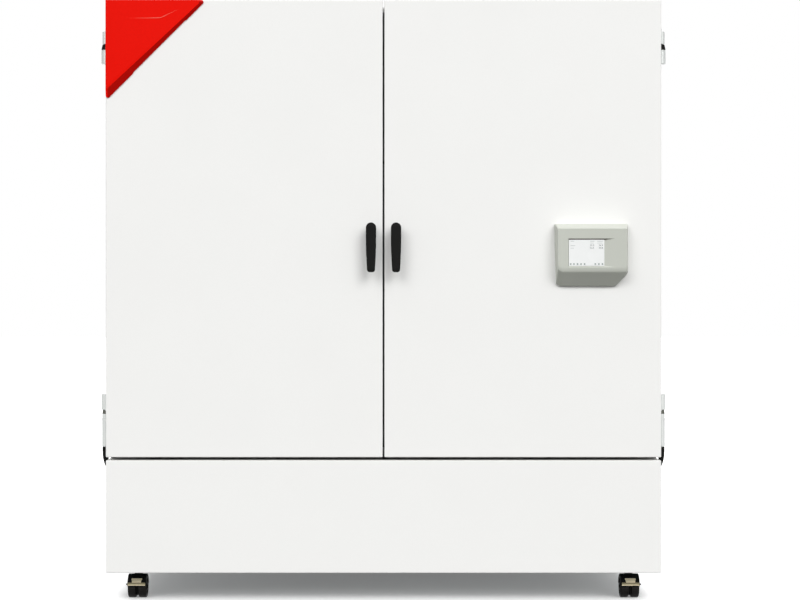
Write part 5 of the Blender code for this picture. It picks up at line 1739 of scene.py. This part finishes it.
    def tail(self) -> None:
        """The black cap below the lower hinge, with its tongue between door and plinth."""
        node = f"hinge_tail_{self.name}"
        room, axis = Span.of(node), self.axis
        full, slim = self.knuckles[Level.UPPER], self.tail_tip
        rings = []
        for share in (0.0, 0.02, 0.2, 0.4, 0.55, 0.7, 0.82, 0.92, 0.98, 1.0):
            bend = share**3
            radius = full + (slim - full) * bend - 0.6 * MM * (share in (0.0, 1.0))
            x, z = axis.x - self.side.value * slim * bend, room.high.z - room.size.z * share
            rings.append([(px, py, z) for px, py in arc((x, axis.y), radius, 0, 360, 32)[:-1]])
        cap = crisp(ring_loft("cap", rings), 40)
        edge = Span.of("outer_housing").high.x
        z = (Span.of("plinth_panel").high.z + Span.of("front_frame").low.z) / 2
        low = (self.side.value * (edge - 10 * MM), axis.y - 5.4 * MM, z - 1.5 * MM)
        high = (self.side.value * (edge + 6 * MM), axis.y + 3.6 * MM, z + 1.5 * MM)
        tongue = block("tongue", span(low, high), 0.5 * MM)
        dress(combined(f"hinge_tail_cap_{self.name}", [cap, tongue]), BLACK_NYLON, "cabinet", node)


@dataclass
class Caster:
    """A twin-wheel caster: hood with stem, wheels, and in front a brake pedal."""

    side: Side
    front: bool
    patterns: Patterns
    wheel: float = 25 * MM
    tread: float = 18.3 * MM
    shoulder: float = 3.4 * MM
    ribs: int = 10
    web: float = 4 * MM
    hood_gap: float = 4.3 * MM
    hood_wall: float = 2.5 * MM
    skirt: float = 4 * MM
    pin: float = 1.9 * MM
    stem: float = 5 * MM
    pedal_sheet: float = 1.6 * MM
    pedal_half: float = 12 * MM

    @property
    def name(self) -> str:
        """The caster's corner in the names of its nodes and pieces."""
        return f"{'front' if self.front else 'rear'}_{self.side.label}"

    def build(self) -> None:
        """Builds and dresses the caster."""
        self.hood()
        self.wheels()
        if self.front:
            self.pedal()

    def joint(self, child: str) -> Vector:
        """The place of the joint that moves one of the caster's bodies."""
        return pivot(f"{child}_{self.name}")

    def hood(self) -> None:
        """The hood over both treads with the web between them, the swivel head and the stem."""
        node = f"caster_fork_{self.name}"
        room, axle, swivel = Span.of(node), self.joint("wheels"), self.joint("caster")
        outer = self.wheel + self.hood_gap
        inner = outer - self.hood_wall
        high, low = (math.degrees(math.asin(self.skirt / radius)) for radius in (outer, inner))
        outline = arc((axle.y, axle.z), outer, high, 180 - high, 36)
        outline += arc((axle.y, axle.z), inner, 180 - low, low, 36)
        half = self.web / 2 + MM + self.tread
        parts = [soften(prism("hood_shell", outline, 0, axle.x - half, axle.x + half), 0.7 * MM, 3, 40)]
        disc = self.wheel - 5 * MM
        web = [(axle.y + disc, axle.z + disc)] + arc((axle.y, axle.z), disc, 0, -180, 24)
        web += [(axle.y - disc, axle.z + disc)]
        wide = self.web / 2
        parts.append(soften(prism("web", web, 0, axle.x - wide, axle.x + wide), 0.8 * MM, 2, 40))
        y, z = axle.y - 26.6 * MM, axle.z + 8.6 * MM
        for way in (-MM, MM):
            start, end = (axle.x + way * 18, y, z), (axle.x + way * 24, y, z)
            parts.append(rod("side_pin", start, end, self.pin, 0.5 * MM))
        top = swivel.z - 0.3 * MM
        profile = mm((0, 0), (12, 0), (13, 1), (13, 6), (20, 9), (20, 15.5), (18.5, 17), (0, 17))
        parts.append(turned("swivel_head", profile, (swivel.x, swivel.y, top - 17 * MM), Z))
        dress(combined(f"caster_hood_{self.name}", parts), BLACK_NYLON, f"caster_{self.name}", node)
        start, end = (swivel.x, swivel.y, top - 2 * MM), (swivel.x, swivel.y, room.high.z)
        stem = rod(f"caster_stem_{self.name}", start, end, self.stem, 0.8 * MM)
        dress(stem, ZINC_PLATE, f"caster_{self.name}")

    def wheels(self) -> None:
        """The two treads on their axle, each with a dished and ribbed disc."""
        axle = self.joint("wheels")
        inner = self.web / 2 + 1 * MM
        outer, r, turn = inner + self.tread, self.wheel - 0.3 * MM, self.shoulder
        half = outline_at(0, outer, (0, 2), (3.6, 2), (4, 1.6), (4, 0), (8.4, 0), (9, -0.6), (9, -3))
        half += outline_at(r, outer, (-6, -3), (-5, -0.5)) + [(r - turn, outer)]
        for angle in (math.radians(a) for a in (20, 40, 60, 75)):
            half.append((r - turn * (1 - math.sin(angle)), outer - turn * (1 - math.cos(angle))))
        half.append((r, outer - 3.2 * MM))
        half += outline_at(r, inner, (0, 2.4), (-0.7, 0.7), (-2.4, 0)) + [(4 * MM, inner)]
        profile = half + [(radius, -height) for radius, height in reversed(half)]
        parts = [turned("wheel_pair", profile, axle, X, 72)]
        for way in (-1, 1):
            low = (way * (outer - 3.2 * MM), 8 * MM, -0.6 * MM)
            high = (way * (outer - 1.2 * MM), r - 5.4 * MM, 0.6 * MM)
            rib = block("rib", span(low, high), 0.2 * MM, 1)
            parts.append(self.patterns.in_ring("ribs", rib, self.ribs, axle, X, TREAD))
        whole = combined(f"twin_wheels_{self.name}", parts)
        dress(whole, TREAD, f"wheels_{self.name}", f"caster_wheels_{self.name}")

    def pedal(self) -> None:
        """The bent pedal: a plate that slopes from the hood to the hollowed bar under the toe."""
        node = f"brake_pedal_{self.name}"
        room, hinge, thick = Span.of(node), self.joint("pedal"), self.pedal_sheet
        front, low_z, high_z = room.low.y, room.low.z, room.low.z + 7 * MM
        half = room.size.x / 2 - 1.5 * MM
        hollow = [(front, high_z), *outline_at(front, low_z, (1.2, 3.6), (0.3, 1.2))]
        back = [(y + thick, z) for y, z in reversed(hollow)]
        bar = prism(f"pedal_bar_{self.name}", hollow + back, 0, hinge.x - half, hinge.x + half)
        # The bar's darker olive is partly painted shade.
        dress(soften(bar, 0.4 * MM, 2, 30), OLIVE_CHROMATE_PAINTED_SHADE, f"pedal_{self.name}")
        lip = span((hinge.x - half, front, low_z), (hinge.x + half, front + thick, low_z + 1.6 * MM))
        parts = [block("lip", lip, 0.5 * MM)]
        for low_share, high_share, narrow in ((0.0, 0.36, 1.0), (0.40, 1.0, 0.84)):
            ends = []
            for share in (low_share, high_share):
                y = hinge.y - thick / 2 + (front + thick / 2 - hinge.y) * share
                z = hinge.z + (high_z - hinge.z) * share
                wide = self.pedal_half * (1 + (narrow - 1) * share)
                left, right, behind, under = hinge.x - wide, hinge.x + wide, y + thick, z - 0.6 * MM
                ends.append([(left, y, z), (right, y, z), (right, behind, under), (left, behind, under)])
            parts.append(soften(ring_loft("plate", ends), 0.4 * MM, 2))
        # The plate's colour is paled towards white, partly as a painted highlight.
        dress(combined(f"toe_pedal_{self.name}", parts), YELLOW_CHROMATE_PAINTED_LIGHT, f"pedal_{self.name}", node)


@dataclass
class BaseFrame:
    """The tray under the machine compartment with its posts and caster seats."""

    wall: float = 2.5 * MM
    fold: float = 3 * MM
    post: float = 30 * MM
    rim: float = 30 * MM
    seat: float = 3 * MM
    seat_half: float = 30 * MM
    boss: float = 11 * MM
    boss_height: float = 23 * MM

    def build(self) -> None:
        """Builds and dresses the base frame."""
        room = Span.of("base_frame")
        top = room.low.z + self.seat + self.rim
        tray = Span(room.low + Vector((0, 0, self.seat)), Vector((room.high.x, room.high.y, top)))
        floor = tray.low.z + self.wall / 2
        parts = [pan("tray", tray, (Face.TOP,), self.fold, self.wall)]
        for y in (Span.of("outer_housing").low.y + self.post, room.high.y - self.post):
            for sign in (-1, 1):
                end = (sign * (room.high.x - self.post), min(y + self.post, room.high.y), room.high.z)
                parts.append(block("post", span((sign * room.high.x, y, floor), end), 2 * MM))
        half = self.seat_half
        for joint in frame["joints"]:
            if joint["name"].startswith("swivel"):
                x, y, z = joint["pos_m"]
                pad = span((x - half, y - half, z), (x + half, y + half, z + self.seat + MM))
                parts.append(block("pad", pad, 1 * MM))
                parts.append(rod("boss", (x, y, floor), (x, y, floor + self.boss_height), self.boss, 1 * MM))
        dress(combined("base_tray", parts), ZINC_PLATE, "cabinet", "base_frame")


@dataclass
class Chamber:
    """What stands in the chamber: racks, shelves, duct panel and the air system behind it."""

    patterns: Patterns
    upright: float = 20 * MM
    slot_pitch: float = 30 * MM
    hole_pitch: float = 20 * MM
    hole: float = 6 * MM
    shelf_margin: float = 12 * MM
    inlet: float = 70 * MM
    wire: float = 1.3 * MM
    outlets: int = 18
    outlet_width: float = 60 * MM
    outlet_height: float = 8 * MM
    outlet_inset: float = 42 * MM
    screw_inset: float = 12 * MM
    screw_pitch: float = 400 * MM
    heater_radius: float = 4 * MM

    def build(self) -> None:
        """Builds and dresses every fitting."""
        for side in Side:
            self.rack(side)
        for level in Level:
            self.shelf(level)
        self.duct_panel()
        self.fan()
        self.motor()
        FinBlock("evaporator", self.patterns, rows=(5, 2), pitch=7 * MM).build()
        self.heater()

    def rack(self, side: Side) -> None:
        """Two slotted uprights and the rails that hang between them.

        Args:
            side: The chamber's side.
        """
        room, sign = Span.of(f"shelf_rack_{side.label}"), side.value
        wall, low, width = room.corner(sign, -1)[0], room.low.z, self.upright
        step = (0, 0, self.slot_pitch)
        parts = []
        for y in (room.low.y, room.high.y - width):
            end = (wall - sign * 10 * MM, y + width, room.high.z)
            upright = block("upright", span((wall, y, low), end), 2 * MM)
            middle = y + width / 2
            start = (wall - sign * 7 * MM, middle - 4 * MM, low + 20 * MM)
            end = (wall - sign * 12 * MM, middle + 4 * MM, start[2] + 12 * MM)
            slot = block("slot", span(start, end), 2.4 * MM)
            count = int((room.size.z - 30 * MM) / self.slot_pitch)
            slots = self.patterns.in_line("slots", slot, count, step, STAINLESS_UP)
            parts.append(soften(cut(upright, slots), 0))
        near, far = room.low.y + width / 2, room.high.y - width / 2
        for level in Level:
            top = Span.of(f"shelf_{level.value}").high.z - SHEET - 0.3 * MM
            tread = span((wall - sign * 5 * MM, near, top - 3 * MM), (wall - sign * 35 * MM, far, top))
            web = span((wall - sign * 9 * MM, near, top - 12 * MM), (wall - sign * 11 * MM, far, top - MM))
            parts += [block("rail", tread, 0.8 * MM), block("rail_web", web, 0.6 * MM)]
        whole = combined(f"slotted_rack_{side.label}", parts)
        dress(whole, STAINLESS_UP, "cabinet", f"shelf_rack_{side.label}")

    def punched_cell(self, pitch: float) -> Shape:
        """One square of sheet about the origin with a round hole, which joins the next one at its border.

        Args:
            pitch: The square's side.

        Returns:
            The square, without a thickness.
        """
        bm = bmesh.new()
        sides = 12
        hole, border = [], []
        corners = [Vector((1, 1)), Vector((-1, 1)), Vector((-1, -1)), Vector((1, -1))]
        for i in range(sides):
            turn = math.radians(45 + 360 * i / sides)
            hole.append(bm.verts.new((self.hole * math.cos(turn), self.hole * math.sin(turn), 0)))
            start, end = corners[i // 3], corners[(i // 3 + 1) % 4]
            at = start.lerp(end, i % 3 / 3) * pitch / 2
            border.append(bm.verts.new((at.x, at.y, 0)))
        for i in range(sides):
            j = (i + 1) % sides
            bm.faces.new((hole[i], border[i], border[j], hole[j]))
        return as_object("punched_cell", bm, mend=False)

    def punched_sheet(self, centre: Vector, top: float, counts: Sequence[int]) -> Shape:
        """A field of holes in a sheet.

        Args:
            centre: The field's middle.
            top: The sheet's upper side.
            counts: How many holes there are along X and Y.

        Returns:
            The sheet with its thickness.
        """
        pitch = self.hole_pitch
        x, y = (centre[i] - counts[i] * pitch / 2 + pitch / 2 for i in (0, 1))
        cell = shifted(self.punched_cell(pitch), (x, y, top))
        steps = ((pitch, 0, 0), (0, pitch, 0))
        sheet = self.patterns.in_rows("punched_sheet", cell, counts, steps, STAINLESS_ACROSS)
        bm = bmesh.new()
        bm.from_mesh(sheet.data)
        bmesh.ops.remove_doubles(bm, verts=bm.verts, dist=0.05 * MM)
        if sum(f.normal.z for f in bm.faces) < 0:
            bmesh.ops.reverse_faces(bm, faces=bm.faces)
        bm.to_mesh(sheet.data)
        bm.free()
        thicken(sheet, SHEET, even=False)
        return soften(sheet, 0)

    def shelf(self, level: Level) -> None:
        """A perforated sheet with turned-down edges in front and behind.

        Args:
            level: Where it lies.
        """
        node = f"shelf_{level.value}"
        room = Span.of(node)
        low, high, centre = room.low, room.high, room.centre
        counts = [int((room.size[i] - 2 * self.shelf_margin) / self.hole_pitch) for i in (0, 1)]
        half_x, half_y = (count * self.hole_pitch / 2 for count in counts)
        parts = [self.punched_sheet(centre, high.z, counts)]
        for sign, inward in ((-1, Face.BACK), (1, Face.FRONT)):
            x, far = centre.x + sign * half_x, (high if sign > 0 else low).x
            strip = span((x, low.y + 2 * MM, high.z - SHEET), (far, high.y - 2 * MM, high.z))
            parts.append(block("side_strip", strip, 0.3 * MM, 2))
            y, end = centre.y + sign * half_y, (high if sign > 0 else low).y
            lip = span((low.x, y, low.z), (high.x, end, high.z))
            parts.append(pan("lip", lip, (Face.BOTTOM, inward, Face.LEFT, Face.RIGHT), 3 * MM))
        dress(combined(f"punched_{node}", parts), STAINLESS_ACROSS, "cabinet", node)

    def duct_panel(self) -> None:
        """The pan before the rear wall: outlets at its sides, and the fan's inlet behind its guard."""
        room = Span.of("air_duct_panel")
        panel = pan("duct_cover", room, (Face.BACK, Face.BOTTOM, Face.TOP), 3 * MM)
        fan, front, height = pivot("circulation_fan"), room.low.y, self.outlet_height
        cutters = [rod("inlet_cutter", (0, front - 5 * MM, fan.z), (0, front + 5 * MM, fan.z), self.inlet)]
        pitch = room.size.z / self.outlets
        z = room.low.z + pitch / 2 - height / 2
        for sign in (-1, 1):
            near = sign * (room.high.x - self.outlet_inset)
            end = (near - sign * self.outlet_width, front + 4 * MM, z + height)
            slot = block("outlet", span((near, front - 4 * MM, z), end), 3.2 * MM, 5)
            step = (0, 0, pitch)
            cutters.append(self.patterns.in_line("outlets", slot, self.outlets, step, STAINLESS_UP))
        dress(soften(cut(panel, *cutters), 0), STAINLESS_UP, "cabinet", "air_duct_panel")
        self.guard(fan, front)
        inset = self.screw_inset
        heights = spaced(room.low.z + inset, room.high.z - inset, self.screw_pitch)
        places = [(x, front, z) for x in (room.low.x + inset, room.high.x - inset) for z in heights]
        dress(self.patterns.screws("duct_screws", places, (0, -1, 0), NICKEL), NICKEL, "cabinet")

    def guard(self, fan: Vector, front: float) -> None:
        """The wire guard over the fan's inlet: rings, and spokes round them.

        Args:
            fan: A point of the fan's axis.
            front: The duct panel's front.
        """
        radius, wire = self.inlet, self.wire
        parts = []
        for share in (0.2, 0.38, 0.56, 0.74, 0.92, 1.08):
            section = arc((radius * share, 0), wire, 0, 315, 7)
            parts.append(turned("guard_ring", section, (0, front - wire, fan.z), (0, -1, 0), 72))
        spoke = rod("spoke", (radius * 0.2, -3 * wire, 0), (radius * 1.08, -wire, 0), wire, 0.3 * MM)
        parts.append(self.patterns.in_ring("spokes", spoke, 6, (0, front, fan.z), Y, BRIGHT_WIRE))
        dress(combined("fan_guard", parts), BRIGHT_WIRE, "cabinet")

    def fan(self) -> None:
        """The circulation wheel: rear disc, front ring, hub and curved blades."""
        room = Span.of("circulation_fan")
        radius, depth = room.size.x / 2 - 1 * MM, room.size.y - 1 * MM
        base = (room.centre.x, room.high.y - 0.2 * MM, room.centre.z)
        profile = [(5 * MM, 0), (radius, 0), (radius, 1.2 * MM), (15 * MM, 1.6 * MM)]
        profile += outline_at(0, depth, (13, -4), (11, -1), (5, -1))
        disc = turned("disc", profile, base, (0, -1, 0))
        low = depth - 1.2 * MM
        profile = [(radius * 0.74, low), (radius, low), (radius, depth), (radius * 0.72, depth)]
        ring = turned("ring", profile, base, (0, -1, 0))
        start, end = radius * 0.58, radius - 1 * MM
        curve = [(start + (end - start) * t, 9 * MM * t * t) for t in (i / 8 for i in range(9))]
        upper, lower = ([(x, y + lift) for x, y in curve] for lift in (0.6 * MM, -0.6 * MM))
        blade = soften(prism("blade", upper + lower[::-1], 1, 0, 1), 0)
        for vert in blade.data.vertices:
            vert.co.y = -1 * MM if vert.co.y < 0.5 else -(depth - 1 * MM)
        blades = self.patterns.in_ring("blades", blade, 18, base, Y, ALUMINIUM)
        whole = combined("circulation_wheel", [disc, ring, blades])
        dress(whole, ALUMINIUM, "circulation_fan", "circulation_fan")

    def motor(self) -> None:
        """The fan's motor with ribbed shell and shaft."""
        room = Span.of("fan_motor")
        radius, length = room.size.x / 2 - 0.5 * MM, 34 * MM
        profile = [(0, 0), (radius, 0), (radius, 3 * MM)]
        for z in (6 * MM + i * 5 * MM for i in range(5)):
            profile += outline_at(radius, z, (0, 0), (-1.5, 0.8), (-1.5, 3), (0, 3.8))
        profile += outline_at(radius, length, (-1, -1.5), (-3, -0.3))
        profile += [(3.6 * MM, length - 0.3 * MM), (3.6 * MM, room.size.y), (0, room.size.y)]
        body = turned("fan_drive", profile, (room.centre.x, room.high.y, room.centre.z), (0, -1, 0))
        dress(body, BLACK_ENAMEL, "cabinet", "fan_motor")

    def heater(self) -> None:
        """The bent heating rod."""
        room, radius = Span.of("heater_rod"), self.heater_radius
        wall, front = room.high.y, room.low.y + radius
        x0, x1, z0, z1 = room.low.x + radius, room.high.x - radius, room.low.z + radius, room.high.z - radius
        loop = [(x0, front, z0), (x1, front, z0), (x1, front, z1), (x0, front, z1)]
        route = [(x0, wall, z0), *loop, (x0, wall, z1)]
        dress(tube("heating_element", route, radius * 0.96, 18 * MM), BRIGHT_WIRE, "cabinet", "heater_rod")


@dataclass
class FinBlock:
    """A heat exchanger: thin fins on rows of tube between two end plates.

    Rows tells how many tubes lie above and behind each other, and depth how deep a block is that
    doesn't fill its CAD node.
    """

    node: str
    patterns: Patterns
    rows: tuple[int, int]
    pitch: float
    depth: float | None = None
    fin: float = 0.8 * MM
    tube: float = 4.5 * MM
    end: float = 12 * MM
    step: float = 1.5 * MM

    def build(self) -> None:
        """Builds and dresses the fins with their end plates, and the tubes."""
        room = Span.of(self.node)
        low, high = room.low.copy(), room.high
        if self.depth:
            low.y = high.y - self.depth
        count = int((high.x - low.x - 2 * self.end) / self.pitch)
        first = (low.x + high.x - (count - 1) * self.pitch) / 2
        start = (first, low.y + self.step, low.z + self.step)
        sheet = span(start, (first + self.fin, high.y - self.step, high.z - self.step))
        parts = [self.patterns.in_line("fins", block("fin", sheet, 0), count, (self.pitch, 0, 0), ALUMINIUM)]
        for x in (low.x + self.end - SHEET, high.x - self.end):
            parts.append(block("end_plate", span((x, low.y, low.z), (x + SHEET, high.y, high.z)), 0.4 * MM))
        dress(combined(f"{self.node}_fins", parts), ALUMINIUM, "cabinet", self.node)
        up, deep = self.rows
        ends = (low.x + self.tube * 1.2, high.x - self.tube * 1.2)
        levels = [low.z + (high.z - low.z) * (k + 0.5) / up for k in range(up)]
        pipes = []
        for i in range(deep):
            y = low.y + (high.y - low.y) * (i + 0.5) / deep
            route = []
            for k, z in enumerate(levels):
                route += [(x, y, z) for x in (ends if k % 2 == 0 else ends[::-1])]
            pipes.append(tube("pipe", route, self.tube, min(9 * MM, (levels[1] - levels[0]) / 2 * 0.98)))
        dress(combined(f"{self.node}_tubes", pipes), COPPER, "cabinet")


@dataclass
class MachineSpace:
    """Compressor, condenser with its fan, and the control box."""

    patterns: Patterns
    pot: float = 80 * MM
    feet: float = 12 * MM
    foot_half: float = 56 * MM
    block_depth: float = 45 * MM
    beam: float = 12 * MM
    fan_radius: float = 78 * MM
    fan_depth: float = 16 * MM
    box_screws: float = 9 * MM

    def build(self) -> None:
        """Builds and dresses the machine compartment."""
        self.compressor()
        self.condenser()
        self.condenser_fan()
        self.control_box()

    def compressor(self) -> None:
        """The sealed shell with its weld seam, foot plate and rubber feet."""
        room, radius = Span.of("compressor"), self.pot
        centre, base, height = room.centre, room.low.z + self.feet, room.size.z - self.feet
        profile = [(0, height)]
        for a in (math.radians(angle) for angle in range(80, -1, -10)):
            profile.append((radius * math.cos(a) ** 0.6, height * (0.60 + 0.40 * math.sin(a))))
        seam = ((1, 0.545), (1.04, 0.54), (1.04, 0.50), (1, 0.495))
        profile += [(radius * across, height * up) for across, up in seam]
        for a in (math.radians(angle) for angle in range(0, 81, 10)):
            profile.append((radius * math.cos(a) ** 0.5, height * 0.30 * (1 - math.sin(a))))
        profile.append((0, 0))
        shell = turned("pot", profile, (centre.x, centre.y, base), Z)
        x, y = room.size.x / 2, self.foot_half
        low, high = (centre.x - x, centre.y - y, base - SHEET), (centre.x + x, centre.y + y, base + SHEET)
        parts = [shell, block("foot_plate", span(low, high), 1 * MM)]
        dress(combined("sealed_compressor", parts), BLACK_ENAMEL, "cabinet", "compressor")
        outline = mm((0, 0), (10, 0), (10.8, 1.5), (9, 5), (10.5, 9), (9, 10.4), (0, 10.4))
        grommets = []
        for right in (-1, 1):
            for back in (-1, 1):
                place = (centre.x + right * (x - 12 * MM), centre.y + back * (y - 12 * MM), room.low.z)
                grommets.append(turned("grommet", outline, place, Z, 32))
        dress(combined("compressor_grommets", grommets), SEAL_RUBBER, "cabinet")

    def condenser(self) -> None:
        """The condenser's fins and tubes, and the bracket with the fan's motor."""
        room, bar, half = Span.of("condenser"), self.beam, self.beam / 2
        FinBlock("condenser", self.patterns, rows=(6, 2), pitch=6 * MM, depth=self.block_depth).build()
        middle, y, end = room.centre, room.low.y + bar, room.high.y - self.block_depth + 2 * MM
        low, high = middle.z - half, middle.z + half
        beam = span((room.low.x + half, y - half, low), (room.high.x - half, y + half, high))
        parts = [block("beam", beam, 1 * MM)]
        for x in (room.low.x + bar, room.high.x - bar):
            parts.append(block("arm", span((x - half, y - half, low), (x + half, end, high)), 1 * MM))
        dress(combined("fan_bracket", parts), ZINC_PLATE, "cabinet")
        start, end = (middle.x, room.low.y, middle.z), (middle.x, y + 30 * MM, middle.z)
        dress(rod("condenser_motor", start, end, 25 * MM, 2 * MM), BLACK_ENAMEL, "cabinet")

    def condenser_fan(self) -> None:
        """The axial fan: a domed hub and six twisted blades."""
        room = Span.of("condenser_fan")
        centre, depth, root = room.centre, self.fan_depth, 11 * MM
        profile = mm((4.6, 0), (13, 0), (14, 1)) + outline_at(0, depth, (14, -3), (12, 0), (4.6, 0))
        hub = turned("hub", profile, (centre.x, room.low.y + 0.2 * MM, centre.z), Y, 48)
        rings = []
        for share in (i / 8 for i in range(9)):
            reach = root + (self.fan_radius - root) * share
            pitch = math.radians(42 - 18 * share)
            chord = (20 + 22 * math.sin(math.pi * (0.15 + 0.75 * share))) * MM
            ring = []
            for along, across in ((-0.5, -0.5), (0.5, -0.5), (0.5, 0.5), (-0.5, 0.5)):
                u, v = along * chord, across * 1.4 * MM
                y = min(max(u * math.sin(pitch) + v * math.cos(pitch), -depth / 2), depth / 2)
                ring.append((reach, y, u * math.cos(pitch) - v * math.sin(pitch)))
            rings.append(ring)
        blade = crisp(ring_loft("blade", rings), 50)
        middle = (centre.x, room.low.y + depth / 2 + 0.2 * MM, centre.z)
        blades = self.patterns.in_ring("blades", blade, 6, middle, Y, BLACK_NYLON)
        dress(combined("axial_fan", [hub, blades]), BLACK_NYLON, "condenser_fan", "condenser_fan")

    def control_box(self) -> None:
        """The case of the control electronics with its air slots and lid screws."""
        room = Span.of("control_box")
        x, y, z, height = room.low.x, room.low.y + 16 * MM, room.low.z, room.size.z
        shape = span((x - 2 * MM, y, z + height * 0.3), (x + 4 * MM, y + 5 * MM, z + height * 0.7))
        slots = self.patterns.in_line("slots", block("slot", shape, 2 * MM), 9, (0, 23 * MM, 0), ZINC_PLATE)
        case = soften(cut(block("electronics_case", room, 1.5 * MM), slots), 0)
        dress(case, ZINC_PLATE, "cabinet", "control_box")
        low, high, inset = room.low, room.high, self.box_screws
        places = []
        for x in (low.x + inset, high.x - inset):
            places += [(x, y, high.z - 0.2 * MM) for y in (low.y + inset, high.y - inset)]
        dress(self.patterns.screws("case_screws", places, Z, NICKEL), NICKEL, "cabinet")


# Camera, light and floor


@dataclass(frozen=True)
class SoftBox:
    """A soft box that stands so far off that its light is even over the whole object."""

    name: str
    towards: tuple[float, float, float]
    strength: float
    spread: float

    def build(self) -> None:
        """Adds the light to the scene."""
        light = bpy.data.lights.new(self.name, "SUN")
        light.energy = self.strength
        light.angle = math.radians(self.spread)
        linked(self.name, light).rotation_euler = Vector(self.towards).to_track_quat("Z", "Y").to_euler()


@dataclass
class Studio:
    """The photograph's view, a white room and a pale floor that keeps the shadow.

    Round the object's footprint the floor glows less, a painted shadow on top of the real one, and brightens
    to white further out:
    edge is the half size in X and Y where it starts to brighten, and slope how fast it brightens each way.
    """

    distance: float = 4.30
    eye: float = 0.6815
    focal: float = 86.0
    shift: float = 0.0206
    ambient: float = 0.54
    edge: tuple[float, float, float] = (0.565, 0.24, 0)
    slope: tuple[float, float, float] = (2.2, 0.56, 0)

    def build(self) -> None:
        """Sets up view, light and floor."""
        scene = bpy.context.scene
        scene.view_settings.view_transform = "Standard"
        data = bpy.data.cameras.new("camera")
        data.lens = self.focal
        data.sensor_width = 36.0
        data.shift_x = self.shift
        camera = linked("camera", data)
        camera.location = (0, Span.of("door_shell_left").low.y - self.distance, self.eye)
        camera.rotation_euler = (math.pi / 2, 0, 0)
        scene.camera = camera
        self.world(scene)
        self.floor()
        SoftBox("right_soft_box", (0.45, -1.0, 0.64), 1.50, 34.0).build()
        SoftBox("left_soft_box", (-0.45, -1.0, 0.64), 1.05, 34.0).build()
        SoftBox("rear_soft_box", (0.0, 1.0, 0.2), 0.9, 50.0).build()

    def world(self, scene: bpy.types.Scene) -> None:
        """A white room that lights the object more softly than it looks.

        Args:
            scene: The scene that gets it.
        """
        room = bpy.data.worlds.new("white_room")
        room.use_nodes = True
        tree = room.node_tree
        tree.nodes.clear()
        ends = {"Value": self.seen(tree), "To Min": self.ambient, "To Max": 1.0}
        level = add_node(tree, "ShaderNodeMapRange", None, ends).outputs["Result"]
        light = add_node(tree, "ShaderNodeBackground", None, {"Color": (1, 1, 1, 1), "Strength": level})
        add_node(tree, "ShaderNodeOutputWorld", None, {"Surface": light.outputs[0]})
        scene.world = room

    def seen(self, tree: Tree) -> Socket:
        """Tells what is looked at from what only gives light.

        Args:
            tree: The tree that gets the nodes.

        Returns:
            1 for what the camera, a mirror or glass sees, and 0 for light on the object.
        """
        path = add_node(tree, "ShaderNodeLightPath")
        total = path.outputs["Is Camera Ray"]
        for name in ("Is Glossy Ray", "Is Transmission Ray"):
            both = {0: total, 1: path.outputs[name]}
            total = add_node(tree, "ShaderNodeMath", {"operation": "MAXIMUM"}, both).outputs[0]
        return total

    def floor(self) -> None:
        """A wide pale floor: white where it is lit, with the object's shadow and a painted shadow round its
        footprint.
        """
        bm = bmesh.new()
        bmesh.ops.create_grid(bm, x_segments=1, y_segments=1, size=30)
        floor = as_object("studio_floor", bm, mend=False)
        shade = bpy.data.materials.new("pale_floor")
        shade.use_nodes = True
        tree = shade.node_tree
        tree.nodes.clear()
        lit = add_node(tree, "ShaderNodeBsdfDiffuse", None, {"Color": linear("#E9E9E9")}).outputs[0]
        dim = add_node(tree, "ShaderNodeBsdfDiffuse", None, {"Color": linear("#696969")}).outputs[0]
        away = add_node(tree, "ShaderNodeTexCoord").outputs["Object"]
        none = (0, 0, 0)
        steps = [("ABSOLUTE", none), ("SUBTRACT", self.edge), ("MAXIMUM", none), ("MULTIPLY", self.slope)]
        for operation, value in steps:
            sockets = {0: away, 1: value}
            away = add_node(tree, "ShaderNodeVectorMath", {"operation": operation}, sockets).outputs["Vector"]
        away = add_node(tree, "ShaderNodeVectorMath", {"operation": "LENGTH"}, {0: away}).outputs["Value"]
        # The glow is weakest round the footprint and strongest far out: a painted shadow under the object.
        ends = {"Value": away, "From Max": 0.22, "To Min": 0.12, "To Max": 0.9}
        smooth = {"interpolation_type": "SMOOTHSTEP"}
        painted_shadow_glow = add_node(tree, "ShaderNodeMapRange", smooth, ends).outputs["Result"]
        white = {"Color": (1, 1, 1, 1), "Strength": painted_shadow_glow}
        glow = add_node(tree, "ShaderNodeEmission", None, white).outputs[0]
        both = add_node(tree, "ShaderNodeAddShader", None, {0: lit, 1: glow}).outputs[0]
        mixed = add_node(tree, "ShaderNodeMixShader", None, {0: self.seen(tree), 1: dim, 2: both}).outputs[0]
        add_node(tree, "ShaderNodeOutputMaterial", None, {"Surface": mixed})
        floor.data.materials.append(shade)


def main() -> None:
    """Builds the whole scene, one sub-assembly after the other."""
    logging.basicConfig(level=logging.INFO, format="%(name)s: %(message)s")
    Studio().build()
    patterns = Patterns()
    Cabinet(patterns).build()
    BaseFrame().build()
    for side in Side:
        Door(side).build()
        Lever(side).build()
        HingeSet(side, patterns).build()
    CornerCover().build()
    Controller().build()
    for front in (True, False):
        for side in Side:
            Caster(side, front, patterns).build()
    Chamber(patterns).build()
    MachineSpace(patterns).build()


if __name__ == "__main__":
    main()
